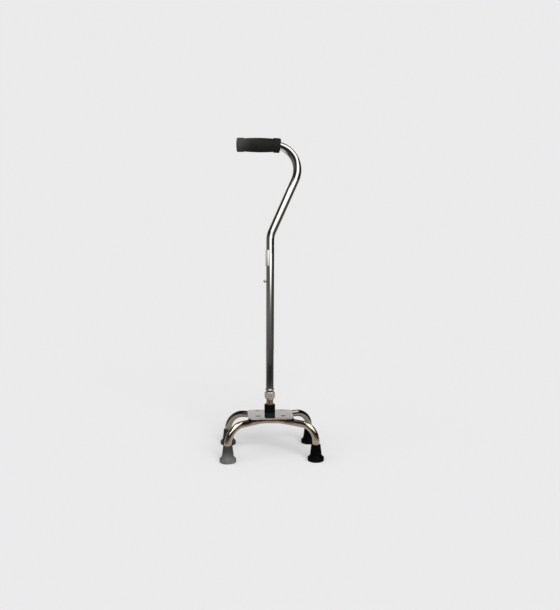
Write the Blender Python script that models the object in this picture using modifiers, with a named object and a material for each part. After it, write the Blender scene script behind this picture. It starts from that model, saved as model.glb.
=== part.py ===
"""A quad cane: a bent steel handle tube that slides on a stem over a small four-footed base.

Lengths are in metres and +Z is up. The cane stands on the floor at z = 0. The middle of its four
feet is the origin, the hand grip points to -X, and the longer pair of legs reaches towards -Y.
Pieces that touch are drawn with a hair gap between them.
"""

import math

import bmesh
import bpy
from mathutils import Matrix, Vector

# Fits
GAP = 0.0003                    # between pieces that touch
RUNNING_FIT = 0.0002            # round a piece that slides or turns in another

# Rubber tips
FOOT_TRACK = 0.197              # left feet to right feet
FRONT_FOOT_REACH = 0.0948       # stem forward to the front feet
REAR_FOOT_REACH = 0.0475        # stem back to the rear feet
TIP_HEIGHT = 0.0375
TIP_RIM_RADIUS = 0.0104
TIP_SHOULDER_RADIUS = 0.0131
TIP_SHOULDER_HEIGHT = 0.0152
TIP_FLANGE_RADIUS = 0.0184
TIP_FLANGE_TOP = 0.0088
TIP_EDGE_RADIUS = 0.0026        # round edge at the sole
TIP_SOLE_THICKNESS = 0.0085
TREAD_GROOVE_WIDTH = 0.0022
TREAD_GROOVE_DEPTH = 0.0012
TREAD_RING_WIDTH = 0.0032       # the outer ring of the sole
TREAD_INNER_RING_WIDTH = 0.0020
TREAD_GROOVES = 2
WASHER_THICKNESS = 0.0012
WASHER_HOLE_RADIUS = 0.0025

# Leg tubes
LEG_DIAMETER = 0.015875
LEG_WALL = 0.0012
LEG_AXIS_HEIGHT = 0.0780        # of each tube's level middle
LEG_BEND_RADIUS = 0.038         # where an arm turns down to its foot
LEG_BOW_RADIUS = 0.030          # where the middle turns into an arm, seen from above
LEG_MIDDLE_LENGTH = 0.0396      # between the two bow corners
FRONT_TUBE_REACH = 0.0298       # stem forward to the front tube's middle
REAR_TUBE_REACH = 0.0148        # stem back to the rear tube's middle
WELD_BEAD_RADIUS = 0.0019
WELD_BEAD_MARGIN = 0.0125       # from a bead's end in to the plate's side edge

# Base plate
PLATE_WIDTH = 0.105
PLATE_FRONT_REACH = 0.0654
PLATE_REAR_REACH = 0.0259
PLATE_THICKNESS = 0.0030
PLATE_CORNER_RADIUS = 0.0095
PLATE_EDGE_ROUND = 0.0011
PLUG_WELD_RADIUS = 0.0040
PLUG_WELD_CROWN = 0.0003
PLUG_WELD_CROWN_RADIUS = 0.0024
PLUG_WELD_OFFSET = 0.0294       # sideways from the stem

# Stem
STEM_DIAMETER = 0.0160
STEM_WALL = 0.0012
STEM_EXPOSED = 0.0111           # sleeve to lock nut, at the lowest setting
STEM_ABOVE_BUTTON = 0.034
STEM_WELD_RADIUS = 0.0012
SLEEVE_RADIUS = 0.0127
SLEEVE_HEIGHT = 0.0190
SLEEVE_RIM_ROUND = 0.0008
CAP_FLANGE_THICKNESS = 0.0022
CAP_PLUG_LENGTH = 0.0090
CAP_PLUG_WALL = 0.0014

# Lock nut, collet and ferrule
NUT_HEIGHT = 0.0185
NUT_ACROSS_FLATS = 0.0216
NUT_CHAMFER_ANGLE = math.radians(30)
NUT_TOP_FACE_RADIUS = 0.0104
NUT_BOTTOM_FACE_RADIUS = 0.0092
NUT_LIP_THICKNESS = 0.0032
COLLET_HEIGHT = 0.0055
COLLET_WALL = 0.0013
COLLET_SLIT = 0.0016
COLLET_CHAMFER = 0.0006
SPIGOT_RADIUS = 0.00975         # the ferrule's threaded end
FERRULE_RADIUS = 0.0109
FERRULE_HEIGHT = 0.0076
FERRULE_TAPER_HEIGHT = 0.0026
FERRULE_WEB = 0.0010            # the step that the handle tube stands on

# Handle tube
SHAFT_DIAMETER = 0.01905
SHAFT_WALL = 0.0012
HEIGHT_STEPS = 12
HEIGHT_STEP = 0.01905
HOLE_DIAMETER = 0.0068
FERRULE_TO_HOLE = 0.0243        # ferrule's top edge up to the lowest hole
HOLE_TO_NECK = 0.1057           # highest hole up to where the two straight runs meet
NECK_LEAN = math.radians(24)
NECK_RISE = 0.2070              # that meeting point up to the grip's axis
NECK_BEND_RADIUS = 0.045
HANDLE_BEND_RADIUS = 0.056

# Snap button
BUTTON_DIAMETER = 0.00635
BUTTON_PROUD = 0.0063           # beyond the handle tube
SPRING_WIDTH = 0.0060
SPRING_THICKNESS = 0.0007
SPRING_DROP = 0.044             # from the button down to the spring's bend
SPRING_TOP = 0.007
SPRING_TOE_RADIUS = 0.0014
SPRING_TOE_HALF_WIDTH = 0.0017  # the two corners of the V's point, from its middle
SPRING_KNEE_RADIUS = 0.006
SPRING_KNEE_DROP = 0.009

# Hand grip
GRIP_LENGTH = 0.1015
GRIP_OVERHANG = 0.0787          # stem axis out to the grip's closed end
GRIP_END_WALL = 0.0040
GRIP_DOME = 0.0023
GRIP_DOME_START = math.radians(8)
GRIP_COLLAR_LENGTH = 0.0133
GRIP_COLLAR_RADIUS = 0.0159
GRIP_GROOVE_WIDTH = 0.0022
GRIP_GROOVE_RADIUS = 0.0148
GRIP_CROWN_END_RADIUS = 0.0154
GRIP_CROWN_RADIUS = 0.0163
GRIP_CUFF_LENGTH = 0.0162       # the wider band next to the bend
GRIP_CUFF_RADIUS = 0.0166
GRIP_EDGE = 0.0010
GRIP_FLEX_RADIUS = 0.195        # the cuff bends a little with the tube

# Facets
TUBE_SIDES = 24
LEG_SIDES = 16
TURNED_STEPS = 20
SMALL_STEPS = 16
HOLE_STEPS = 12
NUT_BLANK_STEPS = 30
BEAD_SIDES = 8
WAIST_STEPS = 3
DOME_STEPS = 4
CROWN_STEPS = 8
NOSE_STEPS = 5
BEND_STEP = math.radians(11.25) # turn between two rings of a bend
LEAF_BEND_STEP = math.radians(18)
CUT_MARGIN = 0.0015             # how far a cutter runs past what it cuts

# Radii that follow from the diameters
LEG_RADIUS = LEG_DIAMETER / 2
STEM_RADIUS = STEM_DIAMETER / 2
STEM_BORE_RADIUS = STEM_RADIUS - STEM_WALL
SHAFT_RADIUS = SHAFT_DIAMETER / 2
SHAFT_BORE_RADIUS = SHAFT_RADIUS - SHAFT_WALL
SLIDING_BORE_RADIUS = STEM_RADIUS + GAP
NUT_CORNER_RADIUS = NUT_ACROSS_FLATS / math.sqrt(3)

# Places of the legs, seen from above: y of a tube's middle and of its feet, and each side's sign
LEGS = {
    "front": (-FRONT_TUBE_REACH, -FRONT_FOOT_REACH),
    "rear": (REAR_TUBE_REACH, REAR_FOOT_REACH),
}
SIDES = {"left": -1, "right": 1}
WELD_BEAD_REACH = PLATE_WIDTH / 2 - WELD_BEAD_MARGIN

# Heights that follow from the stack, floor to grip, at the lowest setting
STEM_Y = (FRONT_FOOT_REACH - REAR_FOOT_REACH) / 2
PLATE_UNDERSIDE = LEG_AXIS_HEIGHT + LEG_RADIUS + GAP
PLATE_TOP = PLATE_UNDERSIDE + PLATE_THICKNESS
SLEEVE_TOP = PLATE_TOP + GAP + SLEEVE_HEIGHT
NUT_BOTTOM = SLEEVE_TOP + STEM_EXPOSED
NUT_TOP = NUT_BOTTOM + NUT_HEIGHT
COLLET_BOTTOM = NUT_BOTTOM + NUT_LIP_THICKNESS + GAP
SPIGOT_BOTTOM = COLLET_BOTTOM + COLLET_HEIGHT + GAP
FERRULE_BOTTOM = NUT_TOP + GAP
FERRULE_TOP = FERRULE_BOTTOM + FERRULE_HEIGHT
SHAFT_BOTTOM = FERRULE_BOTTOM + FERRULE_WEB + GAP
LOWEST_HOLE = FERRULE_TOP + FERRULE_TO_HOLE
BUTTON_HEIGHT = LOWEST_HOLE + HEIGHT_STEPS * HEIGHT_STEP
STEM_TOP = BUTTON_HEIGHT + STEM_ABOVE_BUTTON
NECK_CORNER = BUTTON_HEIGHT + HOLE_TO_NECK
GRIP_AXIS = NECK_CORNER + NECK_RISE


def clear_scene():
    for obj in list(bpy.data.objects):
        bpy.data.objects.remove(obj, do_unlink=True)


def new_collection(name):
    collection = bpy.data.collections.new(name)
    bpy.context.scene.collection.children.link(collection)
    return collection


def new_material(name, colour, roughness, metallic=0.0):
    material = bpy.data.materials.new(name)
    material.use_nodes = True
    shader = material.node_tree.nodes["Principled BSDF"]
    shader.inputs["Base Color"].default_value = (*colour, 1.0)
    shader.inputs["Roughness"].default_value = roughness
    shader.inputs["Metallic"].default_value = metallic
    material.diffuse_color = (*colour, 1.0)
    return material


def new_axis(name, location):
    """An empty that carries the pieces standing on one axis."""
    axis = bpy.data.objects.new(name, None)
    axis.empty_display_size = 0.02
    axis.location = location
    CANE.objects.link(axis)
    return axis


def new_piece(name, mesh, material, parent, location=(0, 0, 0)):
    mesh.materials.append(material)
    piece = bpy.data.objects.new(name, mesh)
    piece.parent = parent
    piece.location = location
    CANE.objects.link(piece)
    return piece


def new_cutter(name, mesh, parent, location=(0, 0, 0)):
    cutter = bpy.data.objects.new(name, mesh)
    cutter.parent = parent
    cutter.location = location
    cutter.hide_render = True
    cutter.display_type = "WIRE"
    CUTTERS.objects.link(cutter)
    return cutter


def cut(piece, cutter, operation="DIFFERENCE"):
    modifier = piece.modifiers.new(cutter.name, "BOOLEAN")
    modifier.operation = operation
    modifier.solver = "EXACT"
    modifier.object = cutter


def smooth(mesh, angle=math.radians(35)):
    mesh.shade_smooth()
    mesh.set_sharp_from_angle(angle=angle)


def profile_mesh(name, profile):
    """A half section at +X: down the outer side, in along the bottom and up the bore."""
    build = bmesh.new()
    verts = [build.verts.new((radius, 0.0, height)) for radius, height in profile]
    for first, second in zip(verts, verts[1:]):
        build.edges.new((first, second))
    on_axis = profile[0][0] == 0.0 and profile[-1][0] == 0.0
    if not on_axis:
        build.edges.new((verts[-1], verts[0]))
    mesh = bpy.data.meshes.new(name)
    build.to_mesh(mesh)
    build.free()
    return mesh


def spin(obj, steps):
    """Turn a half section into a round solid."""
    screw = obj.modifiers.new("Turned", "SCREW")
    screw.axis = "Z"
    screw.angle = math.tau
    screw.steps = steps
    screw.render_steps = steps
    screw.use_merge_vertices = True
    screw.merge_threshold = 0.00001
    screw.use_smooth_shade = True
    return obj


def turned(name, profile, material, parent, location=(0, 0, 0), steps=TURNED_STEPS):
    return spin(new_piece(name, profile_mesh(name, profile), material, parent, location), steps)


def turned_cutter(name, profile, parent, location=(0, 0, 0), steps=TURNED_STEPS):
    return spin(new_cutter(name, profile_mesh(name, profile), parent, location), steps)


def arc(centre, radius, start, end, steps):
    """(radius, height) points along a round edge of a half section, both ends included."""
    angles = [start + (end - start) * i / steps for i in range(steps + 1)]
    return [(centre[0] + radius * math.cos(a), centre[1] + radius * math.sin(a)) for a in angles]


def rounded_path(corners, radii, step=BEND_STEP):
    """The middle line of a bent tube: straight runs through the corners, each turned on its radius."""
    corners = [Vector(corner) for corner in corners]
    path = [corners[0]]
    for before, corner, after, radius in zip(corners, corners[1:], corners[2:], radii):
        back = (before - corner).normalized()
        onward = (after - corner).normalized()
        turn = math.pi - back.angle(onward)
        tangent = radius * math.tan(turn / 2)
        centre = corner + (back + onward).normalized() * (radius / math.cos(turn / 2))
        start = corner + back * tangent - centre
        axis = onward.cross(back).normalized()
        count = max(2, round(turn / step))
        path += [centre + Matrix.Rotation(turn * i / count, 3, axis) @ start for i in range(count + 1)]
    path.append(corners[-1])
    return path


def tube_mesh(name, path, radius, sides, capped, swell=None):
    """A round sweep along a path. Swell gives each point's own radius as a share of the first."""
    curve = bpy.data.curves.new(name, "CURVE")
    curve.dimensions = "3D"
    curve.bevel_depth = radius
    curve.bevel_resolution = (sides - 4) // 2
    curve.use_fill_caps = capped
    spline = curve.splines.new("POLY")
    spline.points.add(len(path) - 1)
    for i, (point, place) in enumerate(zip(spline.points, path)):
        point.co = (*place, 1.0)
        point.radius = swell[i] if swell else 1.0
    guide = bpy.data.objects.new(name, curve)
    bpy.context.scene.collection.objects.link(guide)
    depsgraph = bpy.context.evaluated_depsgraph_get()
    mesh = bpy.data.meshes.new_from_object(guide.evaluated_get(depsgraph), depsgraph=depsgraph)
    bpy.data.objects.remove(guide, do_unlink=True)
    weld = bmesh.new()
    weld.from_mesh(mesh)
    bmesh.ops.remove_doubles(weld, verts=weld.verts, dist=0.00001)
    weld.to_mesh(mesh)
    weld.free()
    mesh.name = name
    smooth(mesh)
    return mesh


def hollow(tube, wall):
    """Give an open sweep its wall, inward from the outside."""
    solidify = tube.modifiers.new("Wall", "SOLIDIFY")
    solidify.thickness = wall
    solidify.offset = -1.0
    solidify.use_even_offset = True
    return tube


def make_plate(steel):
    """A pressed plate with round corners and a rounded rim, with a hole over each plug weld."""
    block = bmesh.new()
    depth = PLATE_FRONT_REACH + PLATE_REAR_REACH
    bmesh.ops.create_cube(block, size=1.0)
    bmesh.ops.scale(block, vec=(PLATE_WIDTH, depth, PLATE_THICKNESS), verts=block.verts)
    upright = [e for e in block.edges if e.verts[0].co.xy == e.verts[1].co.xy]
    bmesh.ops.bevel(block, geom=upright, offset=PLATE_CORNER_RADIUS, segments=5, profile=0.5,
                    affect="EDGES", material=-1)
    mesh = bpy.data.meshes.new("base_plate")
    block.to_mesh(mesh)
    block.free()
    smooth(mesh)
    middle = (0, (PLATE_REAR_REACH - PLATE_FRONT_REACH) / 2, PLATE_TOP - PLATE_THICKNESS / 2)
    plate = new_piece("base_plate", mesh, steel, STEM_AXIS, middle)
    rim = plate.modifiers.new("Rounded rim", "BEVEL")
    rim.width = PLATE_EDGE_ROUND
    rim.segments = 2
    rim.limit_method = "ANGLE"
    rim.angle_limit = math.radians(60)
    for x, y, name in plug_weld_places():
        hole = round_bar(PLUG_WELD_RADIUS + GAP, PLATE_THICKNESS + 2 * CUT_MARGIN, SMALL_STEPS)
        cut(plate, new_cutter(name + "_hole", hole, STEM_AXIS, (x, y, middle[2])))
    return plate


def round_bar(radius, length, steps):
    """A plain cylinder along Z about its middle."""
    bar = bmesh.new()
    bmesh.ops.create_cone(bar, cap_ends=True, segments=steps, radius1=radius, radius2=radius, depth=length)
    mesh = bpy.data.meshes.new("bar")
    bar.to_mesh(mesh)
    bar.free()
    return mesh


def leg_corners(tube_y, foot_y):
    """One leg tube's corners from its left foot to its right: foot, bend, bow, bow, bend, foot."""
    half_track = FOOT_TRACK / 2
    half_middle = LEG_MIDDLE_LENGTH / 2
    end = TIP_SOLE_THICKNESS + WASHER_THICKNESS + 2 * GAP
    left = [
        (-half_track, foot_y, end),
        (-half_track, foot_y, LEG_AXIS_HEIGHT),
        (-half_middle, tube_y, LEG_AXIS_HEIGHT),
    ]
    right = [(-x, y, z) for x, y, z in reversed(left)]
    return left + right


def arm_point(tube_y, foot_y, x):
    """A point on a leg tube's arm, seen from above, at a distance x out from the stem."""
    half_middle = LEG_MIDDLE_LENGTH / 2
    share = (abs(x) - half_middle) / (FOOT_TRACK / 2 - half_middle)
    return tube_y + (foot_y - tube_y) * max(share, 0.0)


def plug_weld_places():
    for end, (tube_y, foot_y) in LEGS.items():
        for side, sign in SIDES.items():
            x = sign * PLUG_WELD_OFFSET
            yield x, arm_point(tube_y, foot_y, x), f"plug_weld_{end}_{side}"


def make_leg_tube(end, steel):
    """Bowed in plan under the plate, then each arm turned down to its foot."""
    radii = (LEG_BEND_RADIUS, LEG_BOW_RADIUS, LEG_BOW_RADIUS, LEG_BEND_RADIUS)
    name = f"{end}_leg_tube"
    path = rounded_path(leg_corners(*LEGS[end]), radii)
    mesh = tube_mesh(name, path, LEG_RADIUS, LEG_SIDES, capped=False)
    return hollow(new_piece(name, mesh, steel, STEM_AXIS), LEG_WALL)


def bead_offset():
    """Sideways from a tube's axis to a bead that touches both the tube and the plate over it."""
    reach = LEG_RADIUS + WELD_BEAD_RADIUS + GAP
    drop = LEG_RADIUS - WELD_BEAD_RADIUS
    return math.sqrt(reach ** 2 - drop ** 2) + GAP


def bead_path(end, sign):
    """Beside a leg tube, following its bow. The rear one on the aft side stops where the bow starts."""
    tube_y, foot_y = LEGS[end]
    half_middle = LEG_MIDDLE_LENGTH / 2
    height = PLATE_UNDERSIDE - GAP - WELD_BEAD_RADIUS
    slope = math.atan2(foot_y - tube_y, FOOT_TRACK / 2 - half_middle)
    shift = sign * bead_offset()
    middle_y = tube_y + shift
    if shift > 0 and slope > 0:
        straight = half_middle - LEG_BOW_RADIUS * math.tan(slope / 2)
        return [(-straight, middle_y, height), (straight, middle_y, height)]
    bow_x = half_middle - shift * math.tan(slope / 2)
    end_x = WELD_BEAD_REACH - shift * math.sin(slope)
    end_y = arm_point(tube_y, foot_y, WELD_BEAD_REACH) + shift * math.cos(slope)
    corners = [(-end_x, end_y, height), (-bow_x, middle_y, height)]
    corners += [(bow_x, middle_y, height), (end_x, end_y, height)]
    bow = LEG_BOW_RADIUS - math.copysign(shift, shift * slope)
    return rounded_path(corners, (bow, bow))


def make_weld_bead(end, side, sign, steel):
    """A bead in the nook between one side of a leg tube and the plate."""
    name = f"{end}_tube_weld_{side}"
    mesh = tube_mesh(name, bead_path(end, sign), WELD_BEAD_RADIUS, BEAD_SIDES, capped=True)
    return new_piece(name, mesh, steel, STEM_AXIS)


def make_plug_weld(x, y, name, steel):
    """A weld that fills its hole in the plate, down to the crest of the leg tube."""
    crown = PLATE_THICKNESS + PLUG_WELD_CROWN
    profile = [(0, crown), (PLUG_WELD_CROWN_RADIUS, crown - PLUG_WELD_CROWN / 3),
               (PLUG_WELD_RADIUS, PLATE_THICKNESS), (PLUG_WELD_RADIUS, 0), (0, 0)]
    return turned(name, profile, steel, STEM_AXIS, (x, y, PLATE_UNDERSIDE), SMALL_STEPS)


def tread_profile():
    """The sole from its edge in to the axis: flat rings with a groove between each two."""
    points = []
    radius = TIP_FLANGE_RADIUS - TIP_EDGE_RADIUS - TREAD_RING_WIDTH
    for _ in range(TREAD_GROOVES):
        inner = radius - TREAD_GROOVE_WIDTH
        points += [(radius, 0), (radius, TREAD_GROOVE_DEPTH), (inner, TREAD_GROOVE_DEPTH), (inner, 0)]
        radius = inner - TREAD_INNER_RING_WIDTH
    return points


def tip_profile():
    """A flared rubber tip: socket, thin rim, tapered neck, swept shoulder, flange, edge and tread."""
    socket = LEG_RADIUS + GAP
    edge = (TIP_FLANGE_RADIUS - TIP_EDGE_RADIUS, TIP_EDGE_RADIUS)
    waist = [(TIP_SHOULDER_RADIUS, TIP_SHOULDER_HEIGHT)]
    for i in range(1, WAIST_STEPS):
        share = i / WAIST_STEPS
        swept = 1 - math.cos(share * math.pi / 2)
        radius = TIP_SHOULDER_RADIUS + (TIP_FLANGE_RADIUS - TIP_SHOULDER_RADIUS) * swept
        waist.append((radius, TIP_SHOULDER_HEIGHT - (TIP_SHOULDER_HEIGHT - TIP_FLANGE_TOP) * share))
    profile = [(0, TIP_SOLE_THICKNESS), (socket, TIP_SOLE_THICKNESS), (socket, TIP_HEIGHT)]
    profile += [(TIP_RIM_RADIUS - GAP, TIP_HEIGHT), (TIP_RIM_RADIUS, TIP_HEIGHT - GAP)]
    profile += waist
    profile += [(TIP_FLANGE_RADIUS, TIP_FLANGE_TOP)]
    profile += arc(edge, TIP_EDGE_RADIUS, 0, -math.pi / 2, 3)
    profile += tread_profile()
    profile += [(0, 0)]
    return profile


def make_foot(end, side, rubber, steel):
    """A tip on the end of a leg, with the steel washer that keeps the tube from cutting through it."""
    place = (SIDES[side] * FOOT_TRACK / 2, LEGS[end][1], 0)
    turned(f"foot_tip_{end}_{side}", tip_profile(), rubber, STEM_AXIS, place)
    bottom = TIP_SOLE_THICKNESS + GAP
    top = bottom + WASHER_THICKNESS
    outer = LEG_RADIUS
    ring = [(outer, top), (outer, bottom), (WASHER_HOLE_RADIUS, bottom), (WASHER_HOLE_RADIUS, top)]
    turned(f"tip_washer_{end}_{side}", ring, steel, STEM_AXIS, place, SMALL_STEPS)


def make_stem(steel):
    """The tube that stands on the plate, open at the top, with one hole for the snap button."""
    bottom = PLATE_TOP + GAP
    ring = [(STEM_RADIUS, STEM_TOP), (STEM_RADIUS, bottom), (STEM_BORE_RADIUS, bottom),
            (STEM_BORE_RADIUS, STEM_TOP)]
    stem = turned("stem_tube", ring, steel, STEM_AXIS)
    cut(stem, side_hole("stem_button_hole", BUTTON_HEIGHT, STEM_AXIS, STEM_RADIUS, STEM_WALL))
    return stem


def side_hole(name, height, parent, radius, wall):
    """A cutter through the -X wall of an upright tube, and no further."""
    hole = new_cutter(name, round_bar(HOLE_DIAMETER / 2, wall + 2 * CUT_MARGIN, HOLE_STEPS), parent)
    hole.location = (-radius + wall / 2, 0, height)
    hole.rotation_euler = (0, math.pi / 2, 0)
    return hole


def make_stem_weld(steel):
    """The fillet weld round the stem's foot, hidden in the sleeve."""
    centre = (STEM_RADIUS + GAP + STEM_WELD_RADIUS, PLATE_TOP + GAP + STEM_WELD_RADIUS)
    ring = arc(centre, STEM_WELD_RADIUS, math.pi / 2, -3 * math.pi / 2, BEAD_SIDES)[:-1]
    return turned("stem_weld", ring, steel, STEM_AXIS)


def make_sleeve(rubber):
    """The black sleeve round the stem's foot, counterbored over the weld."""
    bottom = PLATE_TOP + GAP
    weld_room = STEM_RADIUS + 2 * GAP + 2 * STEM_WELD_RADIUS + GAP
    ledge = bottom + 2 * STEM_WELD_RADIUS + 2 * GAP
    profile = [(SLEEVE_RADIUS - SLEEVE_RIM_ROUND, SLEEVE_TOP), (SLEEVE_RADIUS, SLEEVE_TOP - SLEEVE_RIM_ROUND)]
    profile += [(SLEEVE_RADIUS, bottom), (weld_room, bottom), (weld_room, ledge)]
    profile += [(SLIDING_BORE_RADIUS, ledge), (SLIDING_BORE_RADIUS, SLEEVE_TOP)]
    return turned("stem_sleeve", profile, rubber, STEM_AXIS)


def make_guide_cap(plastic):
    """The plastic cap in the stem's top, which guides it in the handle tube."""
    flange = SHAFT_BORE_RADIUS - RUNNING_FIT
    plug = STEM_BORE_RADIUS - GAP
    under = STEM_TOP + GAP
    top = under + CAP_FLANGE_THICKNESS
    foot = under - CAP_PLUG_LENGTH
    bore = plug - CAP_PLUG_WALL
    profile = [(flange - GAP, top), (flange, top - GAP), (flange, under), (plug, under), (plug, foot),
               (bore, foot), (bore, top)]
    return turned("stem_guide_cap", profile, plastic, STEM_AXIS)


def spring_leg():
    """Outer face of the spring's legs, where its edges just clear the stem's bore."""
    return math.sqrt(STEM_BORE_RADIUS ** 2 - (SPRING_WIDTH / 2) ** 2) - GAP


def make_snap_spring(steel):
    """A leaf bent to a V in the stem. One leg pushes the button out, the other bears on the wall."""
    leg = spring_leg() - SPRING_THICKNESS / 2
    toe = SPRING_TOE_HALF_WIDTH
    corners = [(-leg, 0, SPRING_TOP), (-leg, 0, -SPRING_KNEE_DROP), (-toe, 0, -SPRING_DROP),
               (toe, 0, -SPRING_DROP), (leg, 0, -SPRING_KNEE_DROP), (leg, 0, SPRING_TOP)]
    radii = (SPRING_KNEE_RADIUS, SPRING_TOE_RADIUS, SPRING_TOE_RADIUS, SPRING_KNEE_RADIUS)
    path = rounded_path(corners, radii, LEAF_BEND_STEP)
    ribbon = bmesh.new()
    verts = [ribbon.verts.new((p.x, -SPRING_WIDTH / 2, p.z)) for p in path]
    edges = [ribbon.edges.new(pair) for pair in zip(verts, verts[1:])]
    swept = bmesh.ops.extrude_edge_only(ribbon, edges=edges)["geom"]
    moved = [v for v in swept if isinstance(v, bmesh.types.BMVert)]
    bmesh.ops.translate(ribbon, verts=moved, vec=(0, SPRING_WIDTH, 0))
    mesh = bpy.data.meshes.new("snap_spring")
    ribbon.to_mesh(mesh)
    ribbon.free()
    smooth(mesh)
    spring = new_piece("snap_spring", mesh, steel, STEM_AXIS, (0, 0, BUTTON_HEIGHT))
    leaf = spring.modifiers.new("Leaf", "SOLIDIFY")
    leaf.thickness = SPRING_THICKNESS
    leaf.offset = 0.0
    leaf.use_even_offset = True
    return spring


def make_snap_button(steel):
    """A round-nosed button on the spring's leg, out through the stem and the handle tube."""
    radius = BUTTON_DIAMETER / 2
    base = spring_leg() + GAP
    length = SHAFT_RADIUS + BUTTON_PROUD - base
    profile = [(0, length)]
    profile += arc((0, length - radius), radius, math.pi / 2, 0, NOSE_STEPS)[1:]
    profile += [(radius, 0), (0, 0)]
    button = turned("snap_button", profile, steel, STEM_AXIS, (-base, 0, BUTTON_HEIGHT), SMALL_STEPS)
    button.rotation_euler = (0, -math.pi / 2, 0)
    return button


def nut_blank_profile():
    """What a lathe leaves of a hex bar: both ends coned back from a round face."""
    corner = NUT_CORNER_RADIUS + GAP
    top_drop = (corner - NUT_TOP_FACE_RADIUS) * math.tan(NUT_CHAMFER_ANGLE)
    bottom_rise = (corner - NUT_BOTTOM_FACE_RADIUS) * math.tan(NUT_CHAMFER_ANGLE)
    return [(0, NUT_HEIGHT), (NUT_TOP_FACE_RADIUS, NUT_HEIGHT), (corner, NUT_HEIGHT - top_drop),
            (corner, bottom_rise), (NUT_BOTTOM_FACE_RADIUS, 0), (0, 0)]


def make_lock_nut(steel):
    """A hex nut, coned at both ends, bored for the ferrule's thread above and the stem below."""
    hexagon = round_bar(NUT_CORNER_RADIUS, NUT_HEIGHT + 2 * CUT_MARGIN, 6)
    hexagon.transform(Matrix.Rotation(math.pi / 6, 4, "Z") @ Matrix.Translation((0, 0, NUT_HEIGHT / 2)))
    nut = new_piece("lock_nut", hexagon, steel, HANDLE_AXIS, (0, 0, NUT_BOTTOM))
    here = (0, 0, NUT_BOTTOM)
    blank = turned_cutter("nut_blank", nut_blank_profile(), HANDLE_AXIS, here, NUT_BLANK_STEPS)
    blank.rotation_euler = (0, 0, math.pi / NUT_BLANK_STEPS)
    cut(nut, blank, "INTERSECT")
    thread = SPIGOT_RADIUS + RUNNING_FIT
    above = NUT_HEIGHT + CUT_MARGIN
    bore = [(0, above), (thread, above), (thread, NUT_LIP_THICKNESS),
            (SLIDING_BORE_RADIUS, NUT_LIP_THICKNESS), (SLIDING_BORE_RADIUS, -CUT_MARGIN), (0, -CUT_MARGIN)]
    cut(nut, turned_cutter("nut_bore", bore, HANDLE_AXIS, here))
    return nut


def make_collet(plastic):
    """A split ring on the nut's lip. The nut squeezes it on the stem against the ferrule."""
    outer = SLIDING_BORE_RADIUS + COLLET_WALL
    inner = SLIDING_BORE_RADIUS
    face = outer - COLLET_CHAMFER
    profile = [(face, COLLET_HEIGHT), (outer, COLLET_HEIGHT - COLLET_CHAMFER), (outer, COLLET_CHAMFER),
               (face, 0), (inner, 0), (inner, COLLET_HEIGHT)]
    collet = turned("lock_collet", profile, plastic, HANDLE_AXIS, (0, 0, COLLET_BOTTOM))
    block = bmesh.new()
    bmesh.ops.create_cube(block, size=1.0)
    length = COLLET_WALL + 2 * CUT_MARGIN
    bmesh.ops.scale(block, vec=(COLLET_SLIT, length, COLLET_HEIGHT + 2 * CUT_MARGIN), verts=block.verts)
    bmesh.ops.translate(block, verts=block.verts, vec=(0, inner + COLLET_WALL / 2, COLLET_HEIGHT / 2))
    mesh = bpy.data.meshes.new("collet_slit")
    block.to_mesh(mesh)
    block.free()
    cut(collet, new_cutter("collet_slit", mesh, HANDLE_AXIS, (0, 0, COLLET_BOTTOM)))
    return collet


def make_ferrule(steel):
    """The collar on the handle tube's lower end, with the threaded spigot that the nut turns on."""
    socket = SHAFT_RADIUS + GAP
    step = FERRULE_BOTTOM + FERRULE_WEB
    taper = FERRULE_TOP - FERRULE_TAPER_HEIGHT
    profile = [(socket + GAP, FERRULE_TOP), (FERRULE_RADIUS, taper), (FERRULE_RADIUS, FERRULE_BOTTOM),
               (SPIGOT_RADIUS, FERRULE_BOTTOM), (SPIGOT_RADIUS, SPIGOT_BOTTOM),
               (SLIDING_BORE_RADIUS, SPIGOT_BOTTOM), (SLIDING_BORE_RADIUS, step), (socket, step),
               (socket, FERRULE_TOP)]
    return turned("shaft_ferrule", profile, steel, HANDLE_AXIS)


def handle_path(left_end):
    """Along the grip, round the top bend, down the leaning neck and down the straight shaft."""
    across = NECK_RISE * math.tan(NECK_LEAN)
    corners = [(left_end, 0, GRIP_AXIS), (across, 0, GRIP_AXIS), (0, 0, NECK_CORNER), (0, 0, SHAFT_BOTTOM)]
    return rounded_path(corners, (HANDLE_BEND_RADIUS, NECK_BEND_RADIUS))


def make_handle_tube(steel):
    """One bent tube with a row of height holes down its -X side."""
    path = handle_path(GRIP_END_WALL - GRIP_OVERHANG)
    mesh = tube_mesh("handle_tube", path, SHAFT_RADIUS, TUBE_SIDES, capped=False)
    tube = hollow(new_piece("handle_tube", mesh, steel, HANDLE_AXIS), SHAFT_WALL)
    for i in range(HEIGHT_STEPS + 1):
        height = LOWEST_HOLE + i * HEIGHT_STEP
        cut(tube, side_hole(f"height_hole_{i + 1}", height, HANDLE_AXIS, SHAFT_RADIUS, SHAFT_WALL))
    return tube


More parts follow.
